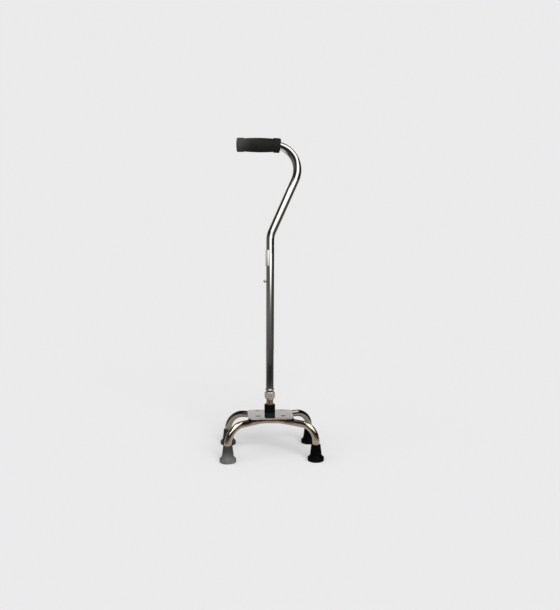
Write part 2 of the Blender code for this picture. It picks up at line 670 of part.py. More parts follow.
def grip_sections():
    """(distance from the closed end, radius) down the grip: dome, collar, groove, crown and cuff."""
    collar_start = GRIP_DOME
    groove_start = collar_start + GRIP_COLLAR_LENGTH
    crown_start = groove_start + GRIP_GROOVE_WIDTH
    cuff_start = GRIP_LENGTH - GRIP_CUFF_LENGTH
    sections = []
    dome = arc((0, 0), 1.0, math.pi / 2 - GRIP_DOME_START, 0, DOME_STEPS)
    sections += [(collar_start * (1 - height), GRIP_COLLAR_RADIUS * out) for out, height in dome]
    sections += [(groove_start - GRIP_EDGE, GRIP_COLLAR_RADIUS)]
    sections += [(groove_start, GRIP_COLLAR_RADIUS - GRIP_EDGE / 2)]
    sections += [(groove_start + GAP, GRIP_GROOVE_RADIUS), (crown_start - GAP, GRIP_GROOVE_RADIUS)]
    swell = GRIP_CROWN_RADIUS - GRIP_CROWN_END_RADIUS
    for i in range(CROWN_STEPS + 1):
        share = i / CROWN_STEPS
        distance = crown_start + (cuff_start - crown_start) * share
        sections.append((distance, GRIP_CROWN_END_RADIUS + swell * math.sin(math.pi * share)))
    sections += [(cuff_start + GAP, GRIP_CUFF_RADIUS - GRIP_EDGE / 2)]
    sections += [(cuff_start + GRIP_EDGE, GRIP_CUFF_RADIUS)]
    sections += [(cuff_start + GRIP_CUFF_LENGTH / 2, GRIP_CUFF_RADIUS)]
    sections += [(GRIP_LENGTH - GRIP_EDGE, GRIP_CUFF_RADIUS), (GRIP_LENGTH, GRIP_CUFF_RADIUS - GRIP_EDGE)]
    return sections


def grip_place(distance):
    """A point on the grip's own middle line, which stays straight up to its cuff."""
    straight = GRIP_LENGTH - GRIP_CUFF_LENGTH - GRIP_EDGE
    if distance <= straight:
        return (distance - GRIP_OVERHANG, 0, GRIP_AXIS)
    angle = (distance - straight) / GRIP_FLEX_RADIUS
    return (straight - GRIP_OVERHANG + GRIP_FLEX_RADIUS * math.sin(angle), 0,
            GRIP_AXIS - GRIP_FLEX_RADIUS * (1 - math.cos(angle)))


def make_grip(rubber):
    """A moulded grip, blind at its outer end, bored along the tube's own bend."""
    sections = grip_sections()
    path = [grip_place(distance) for distance, _ in sections]
    swell = [radius / GRIP_CUFF_RADIUS for _, radius in sections]
    mesh = tube_mesh("hand_grip", path, GRIP_CUFF_RADIUS, TUBE_SIDES, True, swell)
    grip = new_piece("hand_grip", mesh, rubber, HANDLE_AXIS)
    bore_path = handle_path(GRIP_END_WALL - GRIP_OVERHANG - GAP)
    bore = tube_mesh("grip_bore", bore_path, SHAFT_RADIUS + GAP, TUBE_SIDES, True)
    cut(grip, new_cutter("grip_bore", bore, HANDLE_AXIS))
    return grip


clear_scene()
CANE = new_collection("Quad_cane")
CUTTERS = new_collection("Cutters")
STEM_AXIS = new_axis("stem_axis", (0, STEM_Y, 0))
HANDLE_AXIS = new_axis("handle_axis", (0, STEM_Y, 0))

bright_steel = new_material("bright_steel", (0.62, 0.60, 0.57), 0.12, 1.0)
plate_steel = new_material("plate_steel", (0.66, 0.63, 0.61), 0.10, 1.0)
satin_steel = new_material("satin_steel", (0.55, 0.53, 0.51), 0.32, 1.0)
spring_steel = new_material("spring_steel", (0.35, 0.35, 0.36), 0.35, 1.0)
weld_steel = new_material("weld_steel", (0.42, 0.38, 0.35), 0.45, 1.0)
black_rubber = new_material("black_rubber", (0.015, 0.015, 0.015), 0.75)
grey_rubber = new_material("grey_rubber", (0.12, 0.12, 0.12), 0.8)
grip_rubber = new_material("grip_rubber", (0.02, 0.02, 0.02), 0.7)
white_plastic = new_material("white_plastic", (0.75, 0.75, 0.73), 0.5)

make_plate(plate_steel)
for leg_end in LEGS:
    make_leg_tube(leg_end, bright_steel)
    make_weld_bead(leg_end, "fore", -1, weld_steel)
    make_weld_bead(leg_end, "aft", 1, weld_steel)
    for leg_side in SIDES:
        tip_rubber = grey_rubber if (leg_end, leg_side) == ("front", "left") else black_rubber
        make_foot(leg_end, leg_side, tip_rubber, satin_steel)
for weld_x, weld_y, weld_name in plug_weld_places():
    make_plug_weld(weld_x, weld_y, weld_name, weld_steel)
make_stem(bright_steel)
make_stem_weld(weld_steel)
make_sleeve(black_rubber)
make_guide_cap(white_plastic)
make_snap_spring(spring_steel)
make_snap_button(bright_steel)
make_handle_tube(bright_steel)
make_grip(grip_rubber)
make_ferrule(satin_steel)
make_collet(white_plastic)
make_lock_nut(satin_steel)
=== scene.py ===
# %% [markdown]
# # A quad cane, dressed piece by piece
# The cane comes in as plain solids that already have the right sizes and places. This lesson makes
# the pieces that the eye rests on again with finer meshes, gives every piece a finish, and sets up
# the photographer's table. Lengths are in metres, +Z is up, and the four feet stand on z = 0.

# %% Load the plain cane
import math

import bmesh
import bpy
from mathutils import Matrix, Vector, noise


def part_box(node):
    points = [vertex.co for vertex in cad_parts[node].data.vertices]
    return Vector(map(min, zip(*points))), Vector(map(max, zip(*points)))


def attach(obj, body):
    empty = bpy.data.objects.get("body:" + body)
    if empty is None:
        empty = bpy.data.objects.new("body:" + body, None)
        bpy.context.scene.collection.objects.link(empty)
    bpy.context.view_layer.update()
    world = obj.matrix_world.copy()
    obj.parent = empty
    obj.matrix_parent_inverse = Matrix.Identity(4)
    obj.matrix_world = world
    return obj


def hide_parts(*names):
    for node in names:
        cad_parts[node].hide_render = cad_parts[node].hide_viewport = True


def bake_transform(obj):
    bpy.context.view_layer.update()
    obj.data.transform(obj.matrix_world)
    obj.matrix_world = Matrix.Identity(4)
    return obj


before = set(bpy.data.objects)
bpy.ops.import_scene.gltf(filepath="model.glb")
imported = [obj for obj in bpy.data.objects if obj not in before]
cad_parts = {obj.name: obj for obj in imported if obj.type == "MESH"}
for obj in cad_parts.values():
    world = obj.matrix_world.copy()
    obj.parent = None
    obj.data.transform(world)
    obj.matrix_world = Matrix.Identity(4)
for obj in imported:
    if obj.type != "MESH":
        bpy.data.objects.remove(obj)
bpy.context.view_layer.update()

# %% [markdown]
# ## The camera
# The photograph was taken from a little above the middle of the cane, one and a half metres away,
# with a normal lens. Its place was found by fitting the four feet, the plate, the shaft and the
# grip. The camera looks down 4.5 degrees and is rolled by a quarter of a degree. A camera in
# Blender looks along its own -Z, so its matrix has the right, up and backward directions as
# columns.

# %% Place the camera
STEM_Y = 0.02365                # the stem stands this far behind the middle of the feet
CAMERA_OFFSET = (0.0232, -1.5480, 0.4654)       # from the floor under the stem, before the turn
CAMERA_PITCH = 0.0785           # these three are in radians
CAMERA_ROLL = 0.0042
CANE_TURN = 0.0720              # how far the cane stands turned from the camera
LENS = 42.68                    # millimetres, for a frame that is as wide as this:
FRAME_WIDTH = 36


def camera_matrix():
    forward = Vector((0, math.cos(CAMERA_PITCH), -math.sin(CAMERA_PITCH)))
    across = Vector((1, 0, 0))
    upward = across.cross(forward)
    right = math.cos(CAMERA_ROLL) * across + math.sin(CAMERA_ROLL) * upward
    up = -math.sin(CAMERA_ROLL) * across + math.cos(CAMERA_ROLL) * upward
    frame_of_view = Matrix((right, up, -forward)).transposed().to_4x4()
    turned_back = Matrix.Rotation(-CANE_TURN, 4, "Z")
    stand = Matrix.Translation(Vector(CAMERA_OFFSET))
    return Matrix.Translation((0, STEM_Y, 0)) @ turned_back @ stand @ frame_of_view


camera_data = bpy.data.cameras.new("camera")
camera_data.sensor_fit = "HORIZONTAL"
camera_data.sensor_width = FRAME_WIDTH
camera_data.lens = LENS
camera = bpy.data.objects.new("camera", camera_data)
bpy.context.scene.collection.objects.link(camera)
camera.matrix_world = camera_matrix()
bpy.context.scene.camera = camera
print("camera at", [round(c, 4) for c in camera.matrix_world.translation])

# %% [markdown]
# ## The floor and the pale surround
# The cane stands on a pale sweep with no visible horizon. A flat floor does that when it fades, far
# from the cane, into the same plain value as the world behind it. The world shows that value to the
# camera and in reflections, and lights the cane evenly with less. A part of the plain value is in
# the near floor too, which keeps the shadow light. Node trees are long to write, so one helper
# makes a node, sets its values and joins what feeds it, in one line for each node.

# %% Floor and world
PALE = (0.830, 0.825, 0.835)    # the sweep
SKY_LEVEL = 0.30                # how much the world lights the cane
FLOOR_FADE = (0.7, 1.9)         # metres from the cane
FLOOR_GLOW = 0.25               # share of the plain value in the floor close to the cane
FLOOR_RADIUS = 60.0


def feed(tree, value, socket):
    """Join a socket, or a node's first output, to a socket. Anything else is set on it."""
    if isinstance(value, bpy.types.Node):
        value = value.outputs[0]
    if isinstance(value, bpy.types.NodeSocket):
        tree.links.new(value, socket)
    else:
        socket.default_value = value


def add(tree, kind, *fed, **values):
    """A node. Named values go to its attributes or sockets, the others to its sockets in order."""
    node = tree.nodes.new(kind if kind.startswith("Node") else "ShaderNode" + kind)
    for name, value in values.items():
        if hasattr(node, name):
            setattr(node, name, value)
        else:
            feed(tree, value, node.inputs[name.replace("_", " ")])
    for value, socket in zip(fed, node.inputs):
        feed(tree, value, socket)
    return node


def object_place(tree):
    return add(tree, "TexCoord").outputs["Object"]


def cleared(block):
    """The empty node tree of a material or a world."""
    block.use_nodes = True
    block.node_tree.nodes.clear()
    return block.node_tree


def new_material(name):
    material = bpy.data.materials.new(name)
    return material, cleared(material)


def make_world():
    world = bpy.data.worlds.new("studio")
    bpy.context.scene.world = world
    tree = cleared(world)
    rays = add(tree, "LightPath").outputs
    seen = add(tree, "Math", rays["Is Camera Ray"], rays["Is Glossy Ray"], operation="MAXIMUM")
    seen = add(tree, "Math", seen, rays["Is Transmission Ray"], operation="MAXIMUM")
    lighting = add(tree, "Background", (1, 1, 1, 1), SKY_LEVEL)
    shown = add(tree, "Background", (*PALE, 1), 1.0)
    add(tree, "OutputWorld", add(tree, "MixShader", seen, lighting, shown))


def floor_material():
    """Matt and pale near the cane, the sweep's plain value far from it."""
    material, tree = new_material("pale_floor")
    away = add(tree, "VectorMath", object_place(tree), operation="LENGTH").outputs["Value"]
    fade = add(tree, "MapRange", away, interpolation_type="SMOOTHSTEP", From_Min=FLOOR_FADE[0],
               From_Max=FLOOR_FADE[1], To_Min=FLOOR_GLOW)
    matt = add(tree, "BsdfDiffuse", (*PALE, 1), 0.0)
    plain = add(tree, "Emission", (*PALE, 1), 1.0)
    add(tree, "OutputMaterial", add(tree, "MixShader", fade, matt, plain))
    return material


def placed(name, build, *materials):
    """A bmesh becomes an object in the scene."""
    mesh = bpy.data.meshes.new(name)
    build.to_mesh(mesh)
    build.free()
    for material in materials:
        mesh.materials.append(material)
    thing = bpy.data.objects.new(name, mesh)
    bpy.context.scene.collection.objects.link(thing)
    return thing


def stage_piece(name, build, material):
    piece = placed(name, build, material)
    return piece


make_world()
sweep = bmesh.new()
bmesh.ops.create_circle(sweep, cap_ends=True, segments=96, radius=FLOOR_RADIUS)
floor = stage_piece("floor", sweep, floor_material())
print("floor", round(floor.dimensions.x), "m across")

# %% [markdown]
# ## Lamps
# Two very wide, soft lights: the stronger one low over the camera's right shoulder, so that the
# shadow falls behind the cane, and a wider one high on the left. A sun with a wide angle lights the
# whole sweep evenly, as a big studio screen far away does. They light rubber and paper. They don't
# show in the chrome, because the next cells put up bright cards that do, and the two can then be
# set one at a time.

# %% Soft lights
def heading(azimuth):
    """A level direction, in degrees: 0 is towards the camera and 90 to the cane's right."""
    angle = math.radians(azimuth)
    return Vector((math.sin(angle), -math.cos(angle), 0))


def soft_light(name, azimuth, elevation, spread, strength):
    """A lamp so far round the cane, above it and wide, all in degrees."""
    lamp = bpy.data.lights.new(name, "SUN")
    lamp.energy = strength
    lamp.angle = math.radians(spread)
    thing = bpy.data.objects.new(name, lamp)
    bpy.context.scene.collection.objects.link(thing)
    above = math.radians(elevation)
    source = heading(azimuth) * math.cos(above) + Vector((0, 0, math.sin(above)))
    thing.rotation_euler = (-source).to_track_quat("-Z", "Y").to_euler()
    thing.visible_camera = False
    thing.visible_glossy = False


soft_light("key", azimuth=12, elevation=25, spread=42, strength=3.1)
soft_light("fill", azimuth=-30, elevation=40, spread=90, strength=1.40)
print("lamps", len(bpy.data.lights))

# %% [markdown]
# ## What the chrome mirrors
# A bright tube has almost no colour of its own: it shows the room. The photograph shows a bright
# window of light in front and to the right, a wider one high up and overhead, a dark room on both
# sides and a dark floor in front, with the pale sweep only behind and close round the feet. Each is
# a card far from the cane that only reflections can see, so neither the picture's background nor
# the light on the rubber changes. Two black flags and a small window stand close to the handle's
# bend, and a flag with two aprons before the front legs, which draw the sharp edges of the bands
# there. An upright card is one edge, spun round the cane. A card may fade along its height, or with
# its distance from the cane, and a curve over that length says how.

# %% Cards
CARD_DISTANCE = 1.55
CARD_STEPS = 48
FLOOR_CARD_HEIGHT = 0.0006


def card_material(name, tint, measure, stops):
    """A glow whose strength follows a curve over the height, or the distance out, in metres."""
    material, tree = new_material(name)
    place = object_place(tree)
    if measure == "height":
        along = add(tree, "SeparateXYZ", place).outputs["Z"]
    else:
        on_floor = add(tree, "VectorMath", place, (1, 1, 0), operation="MULTIPLY")
        along = add(tree, "VectorMath", on_floor, operation="LENGTH").outputs["Value"]
    reach, peak = stops[-1][0], max(level for _, level in stops)
    ramp = add(tree, "FloatCurve", Value=add(tree, "Math", along, reach, operation="DIVIDE"))
    curve = ramp.mapping.curves[0]
    first, *between, last = [(at / reach, level / peak) for at, level in stops]
    curve.points[0].location, curve.points[1].location = first, last
    for at, level in between:
        curve.points.new(at, level)
    for point in curve.points:
        point.handle_type = "VECTOR"
    ramp.mapping.update()
    strength = add(tree, "Math", ramp, peak, operation="MULTIPLY")
    add(tree, "OutputMaterial", add(tree, "Emission", (*tint, 1), strength))
    return material


def card(name, build, tint, stops, measure="height"):
    """A piece of the stage that only mirrors can see."""
    piece = stage_piece(name, build, card_material(name, tint, measure, stops))
    for ray in ("camera", "diffuse", "transmission", "volume_scatter", "shadow"):
        setattr(piece, f"visible_{ray}", False)
    return piece


def spin(build, geometry, angle, steps, centre=(0, 0, 0), axis=(0, 0, 1), sink=(0, 0, 0),
         merge=False):
    """Spin edges or faces about an axis, and give back the last ring that this makes."""
    return bmesh.ops.spin(build, geom=geometry, cent=centre, axis=axis, dvec=sink, angle=angle,
                          steps=steps, use_merge=merge, use_normal_flip=False,
                          use_duplicate=False)["geom_last"]


def spun_card(name, azimuths, near, far, tint, stops, measure):
    """A card from one edge, given as (distance out, height) twice, spun round the cane."""
    build = bmesh.new()
    ends = [build.verts.new(heading(azimuths[0]) * out + Vector((0, 0, height)))
            for out, height in (near, far)]
    edge = build.edges.new(ends)
    spin(build, ends + [edge], math.radians(azimuths[1] - azimuths[0]), CARD_STEPS)
    card(name, build, tint, stops, measure)


def wall_card(name, azimuths, heights, setback, tint, stops):
    near, far = [(CARD_DISTANCE + setback, height) for height in heights]
    spun_card(name, azimuths, near, far, tint, stops, "height")


def floor_card(name, azimuths, radii, tint, stops):
    near, far = [(radius, FLOOR_CARD_HEIGHT) for radius in radii]
    spun_card(name, azimuths, near, far, tint, stops, "distance")


def rectangle(xs, others):
    """Its four corners, the second numbers being depths or heights."""
    return [(xs[0], others[0]), (xs[1], others[0]), (xs[1], others[1]), (xs[0], others[1])]


def flat_card(name, corners, tint, stops):
    """A card drawn corner by corner."""
    build = bmesh.new()
    bmesh.ops.contextual_create(build, geom=[build.verts.new(corner) for corner in corners])
    return card(name, build, tint, stops)


def level_card(name, corners, height, tint, level):
    """A flat card that lies level, from its (x, y) corners, and glows evenly."""
    stops = [(0, level), (height, level)]
    return flat_card(name, [(x, y, height) for x, y in corners], tint, stops)


def upright_card(name, corners, depth, tint, stops):
    """A flat card that faces the camera, from its (x, z) corners."""
    return flat_card(name, [(x, depth, z) for x, z in corners], tint, stops)


print("card helpers ready")

# %% Windows of light
WINDOW_TINT = (1.0, 0.995, 0.975)
WINDOW_LEVEL = [(0.0, 1.65), (1.20, 1.65), (1.50, 2.5), (2.0, 2.8)]     # brighter high up
WINDOW_SETBACK = 0.03
OVERHEAD_HEIGHT = 1.98
OVERHEAD_LEVEL = 4.8
WINDOW_TOP = 2.0
WINDOW_SILL = [                 # azimuth and height along the lower edge
    (-56, 1.45), (-46, 1.14), (-36, 1.0), (-25, 0.87), (-23, 0.50), (-18, 0.42), (-11, 0.37),
    (0, 0.36), (12, 0.36), (22, 0.37), (30, 0.41), (36, 0.45), (37, 0.60), (50, 0.81),
    (66, 1.25), (80, 1.65), (88, 1.9)]


def verts_of(geometry):
    return [part for part in geometry if isinstance(part, bmesh.types.BMVert)]


def window_card(name, sill, top, tint, stops):
    """An upright card over an uneven sill: a chain of edges, pushed up to one height."""
    build = bmesh.new()
    chain = [build.verts.new(heading(azimuth) * CARD_DISTANCE + Vector((0, 0, low)))
             for azimuth, low in sill]
    edges = [build.edges.new(pair) for pair in zip(chain, chain[1:])]
    for vert in verts_of(bmesh.ops.extrude_edge_only(build, edges=edges)["geom"]):
        vert.co.z = top
    card(name, build, tint, stops)


window_card("front_window", WINDOW_SILL, WINDOW_TOP, WINDOW_TINT, WINDOW_LEVEL)
wall_card("window_foot_left", (-9, 22), (0.08, 0.40), WINDOW_SETBACK, WINDOW_TINT,
          [(0.0, 0.12), (0.10, 0.15), (0.17, 0.21), (0.22, 0.42), (0.26, 0.66), (0.29, 1.05),
           (0.32, 1.5), (0.36, 1.75), (0.40, 1.75)])
wall_card("window_foot_right", (22, 44), (0.08, 0.46), WINDOW_SETBACK, WINDOW_TINT,
          [(0.0, 0.10), (0.10, 0.11), (0.17, 0.15), (0.22, 0.20), (0.26, 0.27), (0.29, 0.42),
           (0.32, 0.63), (0.36, 0.95), (0.42, 1.6), (0.46, 1.75)])
level_card("overhead_window", rectangle((-0.62, 1.18), (-1.7, 0.62)), OVERHEAD_HEIGHT,
           WINDOW_TINT, OVERHEAD_LEVEL)
print("windows reach up to", WINDOW_TOP)

# %% Dark room
ROOM_TINT = (1.0, 0.99, 0.93)
ROOM_SETBACK = 0.10
ROOM_TOP = 2.05
CEILING_HEIGHT = 2.03
BLACK = 0.03                    # what a dark ceiling or a black flag still glows
ROOM_WALLS = [                  # name, azimuths, lower edge, glow by height
    ("room_front", (-48, 50), 0.0,
     [(0.0, 0.10), (0.10, 0.14), (0.20, 0.17), (0.36, 0.10), (0.5, 0.07), (ROOM_TOP, 0.06)]),
    ("room_left", (-112, -48), 0.0,
     [(0.0, 0.12), (0.15, 0.18), (0.35, 0.15), (0.6, 0.11), (0.8, 0.08), (1.0, 0.03),
      (ROOM_TOP, 0.02)]),
    ("room_left_back", (-152, -112), 0.0,
     [(0.0, 0.36), (0.5, 0.32), (1.0, 0.16), (ROOM_TOP, 0.10)]),
    ("room_right", (50, 142), 0.0,
     [(0.0, 0.085), (0.2, 0.065), (0.4, 0.04), (0.6, 0.015), (ROOM_TOP, 0.010)]),
    ("room_back", (125, 208), 0.73,
     [(0.0, 0.60), (0.62, 0.60), (0.76, 0.25), (0.95, 0.05), (ROOM_TOP, 0.03)])]

for name, azimuths, low, stops in ROOM_WALLS:
    wall_card(name, azimuths, (low, ROOM_TOP), ROOM_SETBACK, ROOM_TINT, stops)
level_card("dark_ceiling", rectangle((-1.8, 1.8), (-1.8, 1.8)), CEILING_HEIGHT, ROOM_TINT, BLACK)
print("walls", len(ROOM_WALLS))

# %% Black flags
# The cards near the bend ride with the handle, so that its bend mirrors them at every height.
FLOOR_TINT = (1.0, 0.99, 0.96)
BEND_FLAG = [(-0.050, 0.672), (-0.020, 0.664), (0.020, 0.661), (0.036, 0.663), (0.050, 0.671),
             (0.060, 0.676), (0.075, 0.688), (0.090, 0.705), (0.095, 0.716), (0.085, 0.738),
             (0.070, 0.757), (-0.020, 0.757), (-0.050, 0.690)]
BEND_FLAG_DEPTH = STEM_Y - 0.08
BEND_CARD_HEIGHT = 0.755
BEND_SEAM = [(-0.02, STEM_Y - 0.024), (0.045, STEM_Y - 0.010), (0.08, STEM_Y + 0.005),
             (0.18, STEM_Y + 0.008)]
BEND_WINDOW = BEND_SEAM + [(0.18, -0.18), (-0.02, -0.18)]
BEND_SHADE = BEND_SEAM + [(0.18, STEM_Y + 0.15), (-0.02, STEM_Y + 0.15)]
BEND_WINDOW_LEVEL = 1.70
BEND_SHADE_LEVEL = 0.02
LEG_FLAG_DEPTH = -0.19
LEG_FLAG_LEVEL = [(0.0, 0.60), (0.030, 0.60), (0.050, 0.50), (0.066, 0.24), (0.080, 0.14),
                  (0.096, 0.10), (0.112, 0.05), (0.125, 0.03), (0.165, 0.03)]
APRON_LEVEL = [(0.0, 0.70), (0.04, 0.62), (0.055, 0.30), (0.07, 0.06), (0.09, 0.05)]

bend_cards = [
    upright_card("flag_before_bend", BEND_FLAG, BEND_FLAG_DEPTH, ROOM_TINT,
                 [(0, BLACK), (1, BLACK)]),
    level_card("window_over_bend", BEND_WINDOW, BEND_CARD_HEIGHT, WINDOW_TINT, BEND_WINDOW_LEVEL),
    level_card("flag_over_bend", BEND_SHADE, BEND_CARD_HEIGHT, ROOM_TINT, BEND_SHADE_LEVEL)]
for piece in bend_cards:
    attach(piece, "handle")
upright_card("flag_before_legs", rectangle((-0.24, 0.24), (0.030, 0.165)), LEG_FLAG_DEPTH,
             ROOM_TINT, LEG_FLAG_LEVEL)
for name, xs in (("left", (-0.24, -0.48)), ("right", (0.24, 0.48))):
    upright_card(f"apron_{name}", rectangle(xs, (0.0, 0.09)), LEG_FLAG_DEPTH, FLOOR_TINT,
                 APRON_LEVEL)
print("cards that ride with the handle", [piece.name for piece in bend_cards])

# %% Dark floor
FLOOR_END = 1.75
FLOOR_CARDS = [                 # name, azimuths, nearest edge, glow by distance
    ("floor_left", (-112, -45), 0.45,
     [(0.0, 0.82), (0.45, 0.80), (0.56, 0.55), (0.68, 0.10), (0.76, 0.04), (0.95, 0.06),
      (1.30, 0.13), (FLOOR_END, 0.15)]),
    ("floor_front", (-45, 45), 0.40,
     [(0.0, 0.80), (0.40, 0.72), (0.58, 0.50), (0.74, 0.10), (0.85, 0.05), (FLOOR_END, 0.10)]),
    ("floor_right", (45, 108), 0.42,
     [(0.0, 0.75), (0.42, 0.72), (0.56, 0.55), (0.66, 0.12), (0.73, 0.04), (1.00, 0.05),
      (FLOOR_END, 0.06)]),
    ("floor_left_back", (-160, -112), 0.5, [(0.0, 0.6), (0.5, 0.5), (FLOOR_END, 0.30)]),
    ("floor_right_back", (108, 140), 0.5, [(0.0, 0.7), (0.5, 0.6), (FLOOR_END, 0.30)])]

for name, azimuths, start, stops in FLOOR_CARDS:
    floor_card(name, azimuths, (start, FLOOR_END), FLOOR_TINT, stops)

# %% [markdown]
# ## Shaping tools
# Nearly every piece is either turned or bent from tube, so two helpers do most of the work. A
# turned piece is half a section, spun about the upright axis. A bent tube is a ring of edges that
# is pushed along each straight run and spun round each bend, which is how a tube bender makes it.

# %% Turned pieces
ON_AXIS = 1e-6                  # a point nearer to the axis than this is on it
MERGE_DISTANCE = 0.000004


def rounded_section(corners, steps=5):
    """(radius, height, rounding) corners of a half section, each with its own small arc."""
    points = []
    for i, (radius, height, rounding) in enumerate(corners):
        here = Vector((radius, height))
        if not rounding:
            points.append(here)
            continue
        back = (Vector(corners[i - 1][:2]) - here).normalized()
        onward = (Vector(corners[(i + 1) % len(corners)][:2]) - here).normalized()
        turn = math.pi - back.angle(onward)
        tangent = rounding * math.tan(turn / 2)
        centre = here + (back + onward).normalized() * (rounding / math.cos(turn / 2))
        start = (here + back * tangent - centre).normalized()
        end = (here + onward * tangent - centre).normalized()
        points += [centre + start.slerp(end, k / steps) * rounding for k in range(steps + 1)]
    return points


def turned(corners, sides=64, steps=5):
    """Spin a half section about the upright axis. It is closed first unless it ends on the axis."""
    build = bmesh.new()
    points = rounded_section(corners, steps)
    verts = [build.verts.new((x, 0, z)) for x, z in points]
    edges = [build.edges.new(pair) for pair in zip(verts, verts[1:])]
    if max(points[0].x, points[-1].x) > ON_AXIS:
        edges.append(build.edges.new((verts[-1], verts[0])))
    spin(build, verts + edges, math.tau, sides, merge=True)
    bmesh.ops.remove_doubles(build, verts=build.verts, dist=MERGE_DISTANCE)
    bmesh.ops.recalc_face_normals(build, faces=build.faces)
    return build


# %% Bent tubes
def edges_of(geometry):
    return [part for part in geometry if isinstance(part, bmesh.types.BMEdge)]


def run_on(build, edges, run, run_step):
    """Push a ring of edges along a straight run, in equal steps of about that length."""
    count = max(1, round(run.length / run_step))
    for _ in range(count):
        made = bmesh.ops.extrude_edge_only(build, edges=edges)["geom"]
        ring = verts_of(made)
        bmesh.ops.translate(build, verts=ring, vec=run / count)
        on_ring = set(ring)
        edges = [edge for edge in edges_of(made) if on_ring.issuperset(edge.verts)]
    return edges


def bent_tube(corners, bend_radii, radius, sides=48, bend_step=math.radians(2.5), run_step=1.0,
              closed=False):
    """Sweep a ring along straight runs through the corners, each turned on its own radius."""
    corners = [Vector(c) for c in corners]
    build = bmesh.new()
    ahead = (corners[1] - corners[0]).normalized()
    pose = Matrix.Translation(corners[0]) @ ahead.to_track_quat("Z", "X").to_matrix().to_4x4()
    bmesh.ops.create_circle(build, cap_ends=False, segments=sides, radius=radius, matrix=pose)
    first = edges = build.edges[:]
    place = corners[0]
    for before, corner, after, bend in zip(corners, corners[1:], corners[2:], bend_radii):
        back = (before - corner).normalized()
        onward = (after - corner).normalized()
        turn = math.pi - back.angle(onward)
        tangent = bend * math.tan(turn / 2)
        edges = run_on(build, edges, corner + back * tangent - place, run_step)
        centre = corner + (back + onward).normalized() * (bend / math.cos(turn / 2))
        axis = (-back).cross(onward).normalized()
        steps = max(3, round(turn / bend_step))
        edges = edges_of(spin(build, edges, turn, steps, centre, axis))
        place = corner + onward * tangent
    edges = run_on(build, edges, corners[-1] - place, run_step)
    if closed:
        bmesh.ops.holes_fill(build, edges=first + edges, sides=0)
    bmesh.ops.recalc_face_normals(build, faces=build.faces)
    return build


def moved(build, place):
    bmesh.ops.translate(build, vec=place, verts=build.verts)
    return build


# %% Finished pieces
SHARP = 32                      # degrees from which the edge between two faces shows


def shade(mesh, sharp):
    mesh.shade_smooth()
    mesh.set_sharp_from_angle(angle=math.radians(sharp))


def finished(name, build, body, material, stands_for=(), sharp=SHARP):
    """A bmesh becomes a named piece that rides on its body and stands for its plain solids."""
    piece = placed(name, build, material)
    shade(piece.data, sharp)
    if body:
        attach(piece, body)
    if stands_for:
        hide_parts(*stands_for)
    return piece


def thicken(piece, thickness, offset=-1.0, even=True):
    """A live Solidify gives a skin its wall: inward at -1, outward at 1, both ways at 0."""
    wall = piece.modifiers.new("wall", "SOLIDIFY")
    wall.thickness = thickness
    wall.offset = offset
    wall.use_even_offset = even


def settle(piece, sharp=SHARP):
    """Put what the live modifiers make into the mesh itself."""
    depsgraph = bpy.context.evaluated_depsgraph_get()
    mesh = bpy.data.meshes.new_from_object(piece.evaluated_get(depsgraph), depsgraph=depsgraph)
    piece.modifiers.clear()
    piece.data = mesh
    shade(mesh, sharp)


def cut(piece, build, operation="DIFFERENCE", sharp=SHARP):
    """Cut one shape from another, or keep what they share, and settle the result in the mesh."""
    tool = placed("cutter", build)
    boolean = piece.modifiers.new("cut", "BOOLEAN")
    boolean.solver = "EXACT"
    boolean.operation = operation
    boolean.object = tool
    settle(piece, sharp)
    bpy.data.objects.remove(tool, do_unlink=True)


def add_bar(build, radius, length, sides, pose):
    """A straight bar about its own middle, for cutting and for turning from."""
    bmesh.ops.create_cone(build, cap_ends=True, segments=sides, radius1=radius, radius2=radius,
                          depth=length, matrix=pose)


print("tools ready")

# %% [markdown]
# ## Finishes
# Three effects come back in several finishes, so each is a node group that is built once. Polished
# plating carries a haze, fine scratches and a slow change of tone. Moulded rubber has a fine grain
# and a second colour blended in towards one end: dust low down on the tips, and painted light on
# the grip's closed end. Near a weld the plating is tinted by heat. All of them read Object
# coordinates, which here are metres on the cane itself.

# %% Node groups
def new_group(name, inputs, outputs):
    """An input for each named value: four numbers are a colour, three a place, one a value."""
    group = bpy.data.node_groups.new(name, "ShaderNodeTree")
    for label, value in inputs.items():
        size = len(value) if isinstance(value, tuple) else 1
        kind = {4: "NodeSocketColor", 3: "NodeSocketVector", 1: "NodeSocketFloat"}[size]
        group.interface.new_socket(label, in_out="INPUT", socket_type=kind).default_value = value
    for label in outputs:
        kind = "NodeSocketColor" if label == "Colour" else "NodeSocketFloat"
        group.interface.new_socket(label, in_out="OUTPUT", socket_type=kind)
    return group, add(group, "NodeGroupInput").outputs


def product(tree, first, second, **more):
    return add(tree, "Math", first, second, operation="MULTIPLY", **more)


def blended(tree, share, first, second):
    """The first colour, changing to the second as the share goes to 1."""
    return add(tree, "Mix", data_type="RGBA", Factor=share, A=first, B=second).outputs["Result"]


